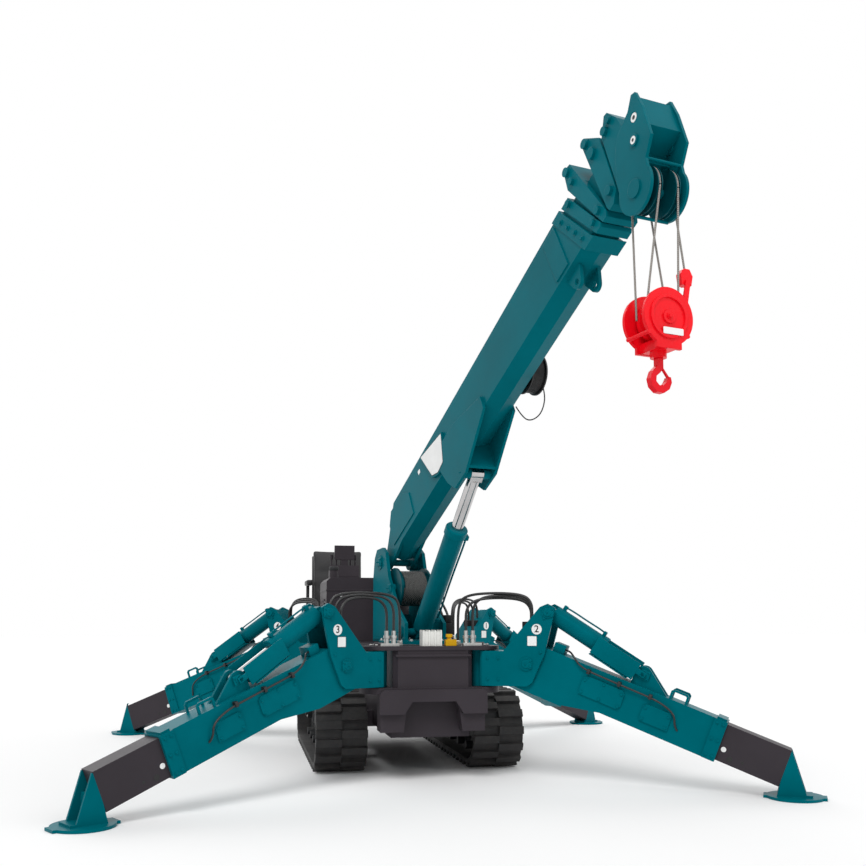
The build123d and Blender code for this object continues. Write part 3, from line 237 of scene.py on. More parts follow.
def paintedSteel(name, shade, rough=0.34, dust=0.01, wear=0.3, gloss=0.14, tint=(1, 1, 1, 1)):
    f = Finish(name)
    rounded, edge = f.edges(0.003)
    cloudy = f.noise(2.2, 5)
    fine = f.noise(38, 6, 0.7)
    tone = f.mix(f.ramp(cloudy, 0.35, 0.7), darker(shade, 0.88), darker(shade, 1.1))
    # painted highlight: every edge is lightened towards 1.9 times the paint's colour
    tone = f.mix(f.ramp(edge, 0.04, 0.2) * 0.35, tone, darker(shade, 1.9))
    dusty = f.ramp(f.up(), 0.2, 0.95) * f.ramp(f.noise(7, 6, 0.7), 0.42, 0.72) * dust
    tone = f.mix(dusty, tone, linear(150, 146, 136))
    chipped = f.ramp(edge * f.ramp(fine, 0.45, 0.75, 0.2, 1.0), 0.12, 0.26) * wear
    tone = f.mix(chipped, tone, darker(shade, 2.6))
    f.set(color=tone, rough=f.ramp(cloudy, 0.3, 0.75, rough - 0.05, rough + 0.1) + dusty * 0.8,
          normal=f.bump(f.noise(95, 3), 0.08, 0.0006, rounded), gloss=gloss, tint=tint)
    return f.material


def treadPlate(name, shade):
    f = Finish(name)
    rounded = f.edges(0.002)[0]
    turned = f.node("Mapping", {}, {0: f.place, "Rotation": (0, 0, 0.785), "Scale": (34, 34, 34)})
    cells = f.node("TexChecker", {}, {0: turned, "Scale": 1.0}, out="Fac")
    bars = f.node("TexWave", {"wave_type": "BANDS", "bands_direction": "X"}, {0: turned, "Scale": 0.64})
    other = f.node("TexWave", {"wave_type": "BANDS", "bands_direction": "Y"}, {0: turned, "Scale": 0.64})
    raised = f.ramp(bars * cells + other * (1 - cells), 0.72, 0.86)
    f.set(color=f.mix(raised * 0.35, shade, darker(shade, 2.4)), rough=0.55 - raised * 0.2,
          normal=f.bump(raised, 0.6, 0.0018, rounded), gloss=0.4)
    return f.material


def bareMetal(name, shade, rough=0.3, stain=0.4):
    f = Finish(name)
    rounded = f.edges(0.002)[0]
    cloudy = f.noise(14, 6, 0.7)
    tone = f.mix(f.ramp(cloudy, 0.4, 0.75) * stain, shade, darker(shade, 0.45))
    f.set(color=tone, metal=1.0, rough=f.ramp(cloudy, 0.3, 0.8, rough - 0.06, rough + 0.18),
          normal=f.bump(f.noise(220, 3), 0.08, 0.0004, rounded))
    return f.material


def polished(name):
    f = Finish(name)
    smear = f.noise(9, 5)
    f.set(color=f.mix(f.ramp(smear, 0.45, 0.8) * 0.25, linear(196, 194, 194), linear(120, 116, 116)),
          metal=1.0,
          rough=f.ramp(smear, 0.3, 0.8, 0.08, 0.2))
    return f.material


def rubber(name, shade=(34, 33, 34), dust=0.2):
    f = Finish(name)
    rounded, edge = f.edges(0.004)
    cloudy = f.noise(5, 6, 0.7)
    tone = f.mix(f.ramp(cloudy, 0.4, 0.7), linear(*shade), linear(*(c + 12 for c in shade)))
    dusty = f.ramp(f.noise(16, 8, 0.75), 0.42, 0.7) * f.ramp(f.up(), -0.4, 1.0, 0.35, 1.0) * dust
    tone = f.mix(dusty, tone, linear(110, 105, 98))
    tone = f.mix(f.ramp(edge, 0.06, 0.3) * 0.3, tone, linear(88, 86, 84))
    f.set(color=tone, rough=f.ramp(cloudy, 0.3, 0.8, 0.55, 0.8),
          normal=f.bump(f.noise(120, 5), 0.25, 0.001, rounded),
          gloss=0.35)
    return f.material


def plastic(name, shade, rough=0.45):
    f = Finish(name)
    rounded = f.edges(0.002)[0]
    grain = f.noise(420, 2)
    cloudy = f.noise(6, 4)
    f.set(color=f.mix(f.ramp(cloudy, 0.4, 0.8) * 0.5, shade, darker(shade, 1.3)),
          rough=f.ramp(cloudy, 0.3, 0.8, rough - 0.05, rough + 0.1),
          normal=f.bump(grain, 0.15, 0.0004, rounded))
    return f.material


def hoseRubber(name):
    f = Finish(name)
    ribs = f.node("TexWave", {"bands_direction": "DIAGONAL"},
                  {"Vector": f.place, "Scale": 120.0, "Distortion": 2.0})
    cloudy = f.noise(12, 5)
    f.set(color=f.mix(f.ramp(cloudy, 0.4, 0.8) * 0.6, linear(19, 19, 20), linear(38, 37, 38)),
          rough=f.ramp(cloudy, 0.3, 0.8, 0.34, 0.5), normal=f.bump(ribs, 0.12, 0.0006))
    return f.material


def glassy(name):
    f = Finish(name)
    smear = f.noise(7, 4)
    f.set(color=f.mix(f.ramp(smear, 0.4, 0.8) * 0.4, linear(9, 10, 12), linear(22, 25, 30)),
          rough=f.ramp(smear, 0.3, 0.8, 0.08, 0.2))
    return f.material


def vinyl(name):
    f = Finish(name)
    grain = f.node("TexVoronoi", inputs={"Vector": f.place, "Scale": 420.0}, out="Distance")
    cloudy = f.noise(5, 5)
    f.set(color=f.mix(f.ramp(cloudy, 0.4, 0.75), linear(26, 26, 28), linear(42, 41, 42)),
          rough=f.ramp(cloudy, 0.3, 0.8, 0.42, 0.6), normal=f.bump(grain, 0.35, 0.0008), gloss=0.4)
    return f.material


def wireRope(name, valley, crest):
    f = Finish(name)
    strands = f.node("TexWave", {"bands_direction": "DIAGONAL"},
                     {"Vector": f.place, "Scale": 95.0, "Distortion": 0.0})
    f.set(color=f.mix(f.ramp(strands, 0.2, 0.9), valley, crest), metal=0.3, rough=0.42,
          normal=f.bump(strands, 0.8, 0.0015))
    return f.material


teal = linear(0, 99, 110)
tealSheen = (0.0, 0.75, 0.9, 1)
# painted shade: a darkened copy of the teal paint, for the winch drum and head sheaves that sit in recesses
shadedTeal = linear(0, 62, 70)
charcoal = linear(54, 49, 54)
finishes = {
    "teal_paint": paintedSteel("tealPaint", teal, dust=0.0, gloss=0.06, tint=tealSheen),
    "cylinder_paint": paintedSteel("cylinderPaint", linear(0, 96, 107), rough=0.3, dust=0.0, gloss=0.08,
                                   tint=tealSheen),
    "charcoal_cover": paintedSteel("charcoalPaint", charcoal, rough=0.42, wear=0.15),
    "tank_paint": paintedSteel("tankPaint", linear(44, 42, 45), rough=0.45, wear=0.15),
    "seat_stand_paint": paintedSteel("standPaint", linear(30, 30, 32), rough=0.5, wear=0.3),
    "steel_frames": paintedSteel("frameGrey", linear(46, 47, 49), rough=0.5, dust=0.15, wear=0.4),
    "motor_paint": paintedSteel("motorBlack", linear(26, 26, 28), rough=0.42, wear=0.3),
    "rubber": rubber("trackRubber"),
    # painted shade: the winch drum takes the darkened teal
    "drum_metal": paintedSteel("drumShadedPaint", shadedTeal, wear=0.5, gloss=0.3, tint=tealSheen),
    "fitting_steel": bareMetal("fittingZinc", linear(190, 190, 188), 0.3),
    "chrome": polished("rodChrome"),
    "rope_steel": wireRope("ropeWire", linear(96, 92, 88), linear(176, 170, 164)),
    "red_paint": paintedSteel("redPaint", linear(246, 14, 30), rough=0.3, wear=0.1),
    "hook_paint": paintedSteel("hookRed", linear(232, 16, 34), rough=0.32, wear=0.4),
    "valve_yellow": paintedSteel("valveYellow", linear(226, 172, 20), rough=0.4, wear=0.3),
    "lamp_white": plastic("lampWhite", linear(226, 226, 222), 0.35),
    "black_plastic": plastic("blackPlastic", linear(20, 20, 22)),
    "seat_cover": vinyl("seatVinyl"),
}
# painted shade: the rope wound on the drum is a darker copy of the rope steel
drumShadedWire = wireRope("drumShadedWire", linear(34, 34, 34), linear(112, 112, 110))
hoseBlack = hoseRubber("hoseBlack")
deckTread = treadPlate("deckTread", linear(40, 37, 40))
screenGlass = glassy("screenGlass")
labelWhite = plastic("labelWhite", linear(232, 233, 232), 0.5)
labelBlack = plastic("labelBlack", linear(16, 16, 17), 0.5)
# painted shade: the head sheaves take the darkened teal
sheaveShadedPaint = paintedSteel("sheaveShadedPaint", shadedTeal, wear=0.5, gloss=0.3, tint=tealSheen)
print("materials ready:", len(finishes))


def dressNodes():
    slots = {part["node"]: part["material_slot"] for part in frame["record"]["subparts"]}
    special = {"head_sheaves": sheaveShadedPaint}
    for name, thing in nodes.items():
        thing.data.materials.clear()
        thing.data.materials.append(special.get(name) or finishes[slots[name]])


floor = {"shade": 0.965, "half": 40.0}


def makeFloor():
    bpy.ops.mesh.primitive_plane_add(size=2 * floor["half"], location=(0, 0, -0.0005))
    ground = bpy.context.object
    ground.name = "floor"
    f = Finish("floorPale")
    f.set(color=(floor["shade"],) * 3 + (1,), rough=0.95, gloss=0.0)
    ground.data.materials.append(f.material)
    bpy.ops.object.select_all(action="DESELECT")


# Frames of the machine's parts: x along or outwards, z to a side
def frameAt(origin, xWay, zWay):
    turned = Matrix((xWay, zWay.cross(xWay), zWay)).transposed().to_4x4()
    turned.translation = origin
    return turned


def legFrames(end, side):
    sign = 1 if side == "right" else -1
    swing = math.radians(leg["heading"][end]) * (-1 if end == "front" else 1)
    outwards = Vector((sign * math.cos(swing), math.sin(swing), 0))
    across = outwards.cross(upZ)
    pivotX, pivotY = leg["pivot"][end]
    base = slewAxis + Vector((sign * pivotX, pivotY, 0))
    pitch = math.radians(leg["pitch"])
    armWay = outwards * math.cos(pitch) - upZ * math.sin(pitch)
    pinX, pinZ = leg["armPin"]
    start = base + outwards * pinX + upZ * pinZ
    (footX, footZ), (eyeX, eyeZ) = leg["cylinderFoot"], leg["cylinderEye"]
    cylinderWay = (outwards * (eyeX - footX) + upZ * (eyeZ - footZ)).normalized()
    return {
        "bracket": frameAt(base, outwards, across),
        "arm": frameAt(start, armWay, across),
        "barrel": frameAt(base + outwards * footX + upZ * footZ, cylinderWay, across),
        "front": sign,
    }


leg = {
    "heading": {"front": 31.6, "rear": 33.1},
    "pivot": {"front": (0.295, -0.447), "rear": (0.446, 1.258)},
    "pitch": 21.2,
    "armPin": (0.315, 0.675),
    "cylinderFoot": (0.445, 0.970),
    "cylinderEye": (0.970, 0.628),
    "armLength": 1.130,
    "armTop": 0.125,
    "armSide": 0.083,
}
corners = [(end, side) for end in ("front", "rear") for side in ("left", "right")]
boomSide = frameAt(boomFoot, boomDir, leftward)
upperSide = frameAt(slewAxis, ahead, leftward)
sheaveCentre = boomSide @ Vector((3.110, -0.118, 0))
luffFoot = upperSide @ Vector((0.080, 0.850, 0))
luffEye = boomSide @ Vector((1.200, -0.155, 0))
luffSide = frameAt(luffFoot, (luffEye - luffFoot).normalized(), leftward)
blockSide = frameAt(sheaveCentre - upZ * 0.550, -leftward, ahead)
world = Matrix.Identity(4)
winch = {"place": (-0.110, 1.125), "rope": 0.009, "radius": 0.1085, "half": 0.0765, "turns": 17}
reel = {"place": (1.760, 0.110), "cable": 0.007, "radius": 0.0985, "from": -0.1790, "to": -0.1165, "turns": 9}

ways = {
    "+z": Matrix.Identity(4),
    "-z": Matrix.Rotation(math.pi, 4, "X"),
    "+y": Matrix.Rotation(-math.pi / 2, 4, "X"),
    "-y": Matrix.Rotation(math.pi / 2, 4, "X"),
    "+x": Matrix.Rotation(math.pi / 2, 4, "Y"),
    "-x": Matrix.Rotation(-math.pi / 2, 4, "Y"),
}


# Modelling: each of these starts from a primitive and shapes it in edit mode
def started(name):
    piece = bpy.context.object
    piece.name = name
    piece.data.name = name
    bpy.ops.object.mode_set(mode="EDIT")
    return piece


def ended(piece, smooth=35):
    bpy.ops.mesh.select_all(action="SELECT")
    bpy.ops.mesh.remove_doubles(threshold=0.00002)
    bpy.ops.mesh.normals_make_consistent(inside=False)
    bpy.ops.object.mode_set(mode="OBJECT")
    bpy.ops.object.shade_smooth_by_angle(angle=math.radians(smooth))
    bpy.ops.object.select_all(action="DESELECT")
    return piece


def softBlock(name, low, high, soft=0.003, segments=2):
    bpy.ops.object.select_all(action="DESELECT")
    bpy.ops.mesh.primitive_cube_add(size=1)
    piece = started(name)
    bpy.ops.transform.resize(value=[b - a for a, b in zip(low, high)], center_override=(0, 0, 0))
    bpy.ops.transform.translate(value=[(a + b) / 2 for a, b in zip(low, high)])
    bpy.ops.mesh.bevel(offset=soft, segments=segments, affect="EDGES")
    return ended(piece)


def turnedPiece(name, steps, sides=28):
    bpy.ops.object.select_all(action="DESELECT")
    height, radius = steps[0]
    bpy.ops.mesh.primitive_circle_add(vertices=sides, radius=radius, fill_type="NGON",
                                      location=(0, 0, height))
    bpy.ops.object.transform_apply(location=True)
    piece = started(name)
    for nextHeight, nextRadius in steps[1:]:
        bpy.ops.mesh.extrude_region_move(TRANSFORM_OT_translate={"value": (0, 0, nextHeight - height)})
        share = nextRadius / radius
        bpy.ops.transform.resize(value=(share, share, 1), center_override=(0, 0, nextHeight))
        height, radius = nextHeight, nextRadius
    return ended(piece)


def cutPlate(name, outline, thick, soft=0.0):
    bpy.ops.object.select_all(action="DESELECT")
    middle = Vector((sum(x for x, y in outline), sum(y for x, y in outline))) / len(outline)
    reach = 2.5 * max((Vector(p) - middle).length for p in outline)
    bpy.ops.mesh.primitive_plane_add(size=reach, location=(middle.x, middle.y, 0))
    bpy.ops.object.transform_apply(location=True)
    piece = started(name)
    for (ax, ay), (bx, by) in zip(outline, outline[1:] + outline[:1]):
        bpy.ops.mesh.select_all(action="SELECT")
        outwards = Vector((by - ay, ax - bx, 0))
        if outwards.dot(Vector((ax, ay, 0)) - Vector((middle.x, middle.y, 0))) < 0:
            outwards.negate()
        bpy.ops.mesh.bisect(plane_co=(ax, ay, 0), plane_no=outwards, clear_outer=True)
    bpy.ops.mesh.select_all(action="SELECT")
    if soft:
        bpy.ops.mesh.bevel(offset=soft, segments=4, affect="VERTICES")
        bpy.ops.mesh.select_all(action="SELECT")
    bpy.ops.mesh.extrude_region_move(TRANSFORM_OT_translate={"value": (0, 0, thick)})
    return ended(piece)


def joined(name, parts):
    bpy.ops.object.select_all(action="DESELECT")
    for part in parts:
        part.select_set(True)
    bpy.context.view_layer.objects.active = parts[0]
    if len(parts) > 1:
        bpy.ops.object.join()
    whole = bpy.context.view_layer.objects.active
    whole.name = name
    whole.data.name = name
    bpy.ops.object.select_all(action="DESELECT")
    return whole


def copyAt(model, place):
    copy = model.copy()
    copy.data = model.data.copy()
    copy.data.transform(place)
    bpy.context.scene.collection.objects.link(copy)
    return copy


def fixed(piece, place, body, slot, finish=None):
    piece.data.transform(place)
    piece.data.materials.clear()
    piece.data.materials.append(finish or finishes[slot])
    if body:
        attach(piece, body)
    return piece


def many(name, model, places, body, slot, finish=None):
    return fixed(joined(name, [copyAt(model, place) for place in places]), world, body, slot, finish)


def dropped(model):
    bpy.data.objects.remove(model, do_unlink=True)


def spot(frameOf, x, y, z, way="+z"):
    return frameOf @ Matrix.Translation((x, y, z)) @ ways[way]


def boltModel(radius, height):
    washer = turnedPiece("washer", [(0, radius * 1.5), (radius * 0.25, radius * 1.5),
                                    (radius * 0.32, radius * 1.4)], 18)
    head = turnedPiece("boltHead", [(radius * 0.2, radius), (height * 0.85, radius), (height, radius * 0.84)],
                       6)
    return joined("bolt", [washer, head])


def pinModel(radius, plate):
    cap = turnedPiece("pinCap", [(0, radius), (0.006, radius), (0.009, radius * 0.86)])
    nipple = turnedPiece("nipple", [(0.008, 0.005), (0.012, 0.005), (0.013, 0.003), (0.018, 0.0035),
                                    (0.021, 0.002)], 10)
    keeper = softBlock("keeper", (radius * 0.45, -plate / 2, 0), (radius + 0.012, plate / 2, 0.005), 0.0015)
    parts = [cap, nipple, keeper]
    for side in (-1, 1):
        bolt = boltModel(0.0045, 0.006)
        bolt.data.transform(Matrix.Translation((radius + 0.005, side * plate * 0.32, 0.005)))
        parts.append(bolt)
    return joined("pin", parts)


# Hoses and pipes: a smooth line through a few points, as a round tube
def smoothLine(name, points, width):
    curve = bpy.data.curves.new(name, "CURVE")
    curve.dimensions = "3D"
    curve.resolution_u = 6
    spline = curve.splines.new("NURBS")
    spline.points.add(len(points) - 1)
    for point, place in zip(spline.points, points):
        point.co = (*place, 1)
    spline.order_u = 3
    spline.use_endpoint_u = True
    holder = bpy.data.objects.new(name, curve)
    bpy.context.scene.collection.objects.link(holder)
    line = bpy.data.meshes.new_from_object(holder)
    path = [v.co.copy() for v in line.vertices]
    bpy.data.meshes.remove(line)
    curve.bevel_depth = width / 2
    curve.bevel_resolution = 3
    curve.use_fill_caps = True
    bpy.ops.object.select_all(action="DESELECT")
    holder.select_set(True)
    bpy.context.view_layer.objects.active = holder
    bpy.ops.object.convert(target="MESH")
    piece = bpy.context.object
    piece.name = name
    bpy.ops.object.mode_set(mode="EDIT")
    return ended(piece, 50), path


def hose(name, points, width, body, toBody=None):
    piece, path = smoothLine(name, points, width)
    fixed(piece, world, None if toBody else body, "black_plastic", hoseBlack)
    if toBody:
        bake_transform(piece)
    length = sum((b - a).length for a, b in zip(path, path[1:]))
    return piece


def pipe(name, points, width, body, slot, finish=None):
    return fixed(smoothLine(name, points, width)[0], world, body, slot, finish)


# Seat: two crowned cushions with shell and armrests
seat = {
    "x": (-0.535, -0.125),
    "cushionY": (1.525, 1.765),
    "cushionZ": (0.925, 1.008),
    "backY": (1.775, 1.865),
    "backZ": (0.985, 1.470),
    "crown": 0.014,
    "recline": 6.5,
    "piping": 0.007,
}


def cushion(name, low, high, crown, channels, flatAxis):
    bpy.ops.object.select_all(action="DESELECT")
    bpy.ops.mesh.primitive_cube_add(size=2)
    piece = started(name)
    bpy.ops.mesh.subdivide(number_cuts=13)
    bpy.ops.object.mode_set(mode="OBJECT")
    middle = [(a + b) / 2 for a, b in zip(low, high)]
    half = [(b - a) / 2 for a, b in zip(low, high)]
    others = [axis for axis in range(3) if axis != flatAxis]
    for vertex in piece.data.vertices:
        share = list(vertex.co)
        u, v = (share[axis] for axis in others)
        fullness = (1 - u * u) * (1 - v * v)
        thin = share[flatAxis]
        groove = sum(math.exp(-((v - c) / 0.05) ** 2) for c in channels) * (1 - u ** 6)
        place = [0, 0, 0]
        for axis in others:
            other = others[1 - others.index(axis)]
            pull = 0.012 * (1 - share[other] ** 2) * (1 - abs(thin) ** 2)
            place[axis] = middle[axis] + share[axis] * (half[axis] * (1 - 0.05 * abs(thin) ** 4) - pull)
        lift = half[flatAxis] * thin * (0.80 + 0.2 * (1 - max(abs(u), abs(v)) ** 6))
        raised = 1 if thin > 0 else -0.15
        lift += (crown * fullness - 0.007 * groove) * raised * abs(thin) ** 2
        place[flatAxis] = middle[flatAxis] + lift
        vertex.co = place
    bpy.ops.object.select_all(action="DESELECT")
    piece.select_set(True)
    bpy.context.view_layer.objects.active = piece
    smoother = piece.modifiers.new("rounded", "SUBSURF")
    smoother.levels = 1
    smoother.render_levels = 1
    bpy.ops.object.modifier_apply(modifier="rounded")
    bpy.ops.object.mode_set(mode="EDIT")
    return ended(piece, 80)


def makeSeat():
    (left, right), (front, rear), (low, high) = seat["x"], seat["cushionY"], seat["cushionZ"]
    base = cushion("seatCushion", (left, front, low), (right, rear, high), seat["crown"], (-0.4, 0.35), 2)
    fixed(base, world, "carrier", "seat_cover")
    (backFront, backRear), (backLow, backHigh) = seat["backY"], seat["backZ"]
    lean = (Matrix.Translation((0, backRear, backLow)) @ Matrix.Rotation(math.radians(-seat["recline"]), 4,
                                                                         "X")
            @ Matrix.Translation((0, -backRear, -backLow)))
    flip = cushion("seatBack", (left + 0.01, -backRear, backLow), (right - 0.01, -backFront, backHigh),
                   seat["crown"],
                   (-0.3, 0.25), 1)
    turned = Matrix.Rotation(math.pi, 4, "Z")
    flip.data.transform(Matrix.Translation((left + right, 0, 0)) @ turned)
    fixed(flip, lean, "carrier", "seat_cover")
    shell = softBlock("seatShell", (left + 0.005, backRear + 0.002, backLow - 0.05),
                      (right - 0.005, backRear + 0.022, backHigh - 0.03), 0.009, 3)
    fixed(shell, lean, "carrier", "black_plastic")
    tray = softBlock("seatTray", (left + 0.01, front + 0.01, low - 0.004),
                     (right - 0.01, backRear + 0.03, low + 0.018), 0.006, 2)
    fixed(tray, world, "carrier", "black_plastic")
    arms = []
    for near in (left - 0.055, right + 0.005):
        arms.append(softBlock("armPad", (near, 1.63, 1.190), (near + 0.05, 1.895, 1.232), 0.012, 4))
        arms.append(softBlock("armPost", (near + 0.013, 1.855, 0.945), (near + 0.037, 1.893, 1.195), 0.004,
                              2))
    arms.append(softBlock("armCross", (left - 0.045, 1.855, 0.930), (right + 0.045, 1.893, 0.955), 0.004, 2))
    fixed(joined("armrests", arms), world, "carrier", "black_plastic")
    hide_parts("seat")
    belt = softBlock("beltBuckle", (right - 0.03, 1.745, 1.005), (right - 0.008, 1.775, 1.065), 0.003, 2)
    fixed(belt, world, "carrier", "red_paint")
    print("seat dressed")


# Pins, bolts and the like: places along and above each part's own frame
fasteners = {
    "pin": (0.024, 0.052),         # radius and the keeper plate's width
    "bigPin": (0.027, 0.060),
    "smallBolt": (0.0065, 0.008),  # radius and height
    "bolt": (0.009, 0.011),
    "bracketSide": 0.095,
    "bracketPin": 0.102,
    "lugSide": 0.053,
    "bracketBolts": ((0.085, 0.585), (0.085, 0.705), (0.15, 0.585), (0.15, 0.705), (0.425, 0.935),
                     (0.40, 0.74)),
    "armBolts": ((0.345, -0.025), (0.345, 0.045), (0.452, 0.058), (0.56, 0.045), (0.56, -0.025),
                 (0.452, -0.028),
                 (0.704, -0.032), (0.704, 0.030), (0.836, 0.030), (0.836, -0.032),
                 (1.078, -0.075), (1.078, 0.015), (1.078, 0.105), (1.112, -0.075), (1.112, 0.015),
                 (1.112, 0.105)),
    "pivotTop": 0.7753,
    "pivotRing": (6, 0.052),       # bolts and their circle's radius
    "slewRing": (20, 0.218),
    "hubRing": (6, 0.058),
    "hubSide": 0.573,
    "hubHeight": 0.240,
    "hubs": (0.020, 1.510),
    "columnPins": ((-0.277, 1.300), (0.080, 0.850)),
    "columnSide": 0.146,
    "boomEye": (1.200, -0.155, 0.083),
    "collarBolts": ((2.640, 0.235), (2.668, 0.165), (2.698, 0.095), (2.726, 0.025)),
    "collarSide": 0.089,
}


def bothSides(frameOf, places, half):
    return [spot(frameOf, x, y, z, way) for z, way in ((half, "+z"), (-half, "-z")) for x, y in places]


def circleOf(ring, start=0.0):
    count, radius = ring
    angles = [start + math.tau * turn / count for turn in range(count)]
    return [(radius * math.cos(angle), radius * math.sin(angle)) for angle in angles]


def makeFasteners():
    pin = pinModel(*fasteners["pin"])
    bigPin = pinModel(*fasteners["bigPin"])
    smallBolt = boltModel(*fasteners["smallBolt"])
    bolt = boltModel(*fasteners["bolt"])
    for end, side in corners:
        name = end + "_" + side
        frames = legFrames(end, side)
        bracket, arm = frames["bracket"], frames["arm"]
        places = bothSides(bracket, (leg["armPin"], leg["cylinderFoot"]), fasteners["bracketPin"])
        many("bracketPins_" + name, pin, places, "bracket_" + name, "teal_paint")
        top = bracket @ Matrix.Translation((0, fasteners["pivotTop"], 0)) @ ways["+y"]
        ring = [top @ Matrix.Translation((x, y, 0)) for x,
                y in circleOf(fasteners["pivotRing"], math.radians(30))]
        many("pivotBolts_" + name, bolt, ring, "carrier", "fitting_steel")
        cap = turnedPiece("pivotCap_" + name,
                          [(0, 0.066), (0.004, 0.066), (0.005, 0.038), (0.016, 0.036), (0.019, 0.030)], 36)
        fixed(cap, top, "carrier", "charcoal_cover")
        eye = arm.inverted() @ (bracket @ Vector((*leg["cylinderEye"], 0)))
        many("armPins_" + name, pin, bothSides(arm, ((eye.x, eye.y),), fasteners["lugSide"]), "arm_" + name,
             "teal_paint")
        many("armBolts_" + name, smallBolt, bothSides(arm, fasteners["armBolts"], leg["armSide"]),
             "arm_" + name,
             "teal_paint")
        many("bracketBolts_" + name, smallBolt,
             bothSides(bracket, fasteners["bracketBolts"], fasteners["bracketSide"]),
             "bracket_" + name, "teal_paint")
    places = bothSides(upperSide, fasteners["columnPins"], fasteners["columnSide"])
    places.append(spot(upperSide, *winch["place"], 0.140))
    many("columnPins", bigPin, places, "upper", "teal_paint")
    ring = [Matrix.Translation((x, slewAxis.y + y, 0.797)) for x, y in circleOf(fasteners["slewRing"])]
    many("ringBolts", bolt, ring, "upper", "fitting_steel")
    x, y, half = fasteners["boomEye"]
    many("boomEyePins", bigPin, bothSides(boomSide, ((x, y),), half), "boom", "teal_paint")
    many("collarBolts", bolt, bothSides(boomSide, fasteners["collarBolts"], fasteners["collarSide"]), "boom",
         "teal_paint")
    hubs = []
    for wheelY in fasteners["hubs"]:
        for side, way in ((1, "+x"), (-1, "-x")):
            for y, z in circleOf(fasteners["hubRing"]):
                place = (side * fasteners["hubSide"], slewAxis.y + wheelY + y, fasteners["hubHeight"] + z)
                hubs.append(Matrix.Translation(place) @ ways[way])
    many("hubBolts", smallBolt, hubs, "carrier", "fitting_steel")
    for model in (pin, bigPin, smallBolt, bolt):
        dropped(model)
    print("pins and bolts made")


# Labels: all blank but for the outriggers' own numbers
labels = {
    "numbers": {("front", "left"): "3", ("front", "right"): "2", ("rear", "left"): "4",
                ("rear", "right"): "1"},
    "discPlace": (0.380, 0.873),
    "discR": 0.030,
    "squarePlace": (0.352, 0.806),
    "squareHalf": 0.029,
    "beamDot": (1.155, -0.018, 0.014),
    "beamHoles": ((1.200, -0.055, 0.015), (1.265, -0.045, 0.008)),
    "cheekRings": ((3.215, 0.060, 0.1041, 0.017, 0.0012, 0.007), (3.262, 0.150, 0.0935, 0.020, 0.003, 0.009)),
    "boomSide": 0.0829,
    "boomPlate": 0.0991,
    "boomSign": [(1.103, 0.203), (1.045, 0.040), (0.960, 0.028), (0.885, 0.060), (0.800, 0.259)],
}


def numberPiece(text, size):
    bpy.ops.object.text_add(location=(0, 0, 0))
    piece = bpy.context.object
    piece.data.body = text
    piece.data.align_x = "CENTER"
    piece.data.align_y = "CENTER"
    piece.data.size = size
    piece.data.extrude = 0.0004
    piece.data.offset = size * 0.012
    bpy.ops.object.convert(target="MESH")
    bpy.ops.object.transform_apply(location=True, rotation=True, scale=True)
    bpy.ops.object.mode_set(mode="EDIT")
    return ended(bpy.context.object)


def squareOutline(halfX, halfY, middle=(0, 0)):
    x, y = middle
    return [(x - halfX, y - halfY), (x + halfX, y - halfY), (x + halfX, y + halfY), (x - halfX, y + halfY)]


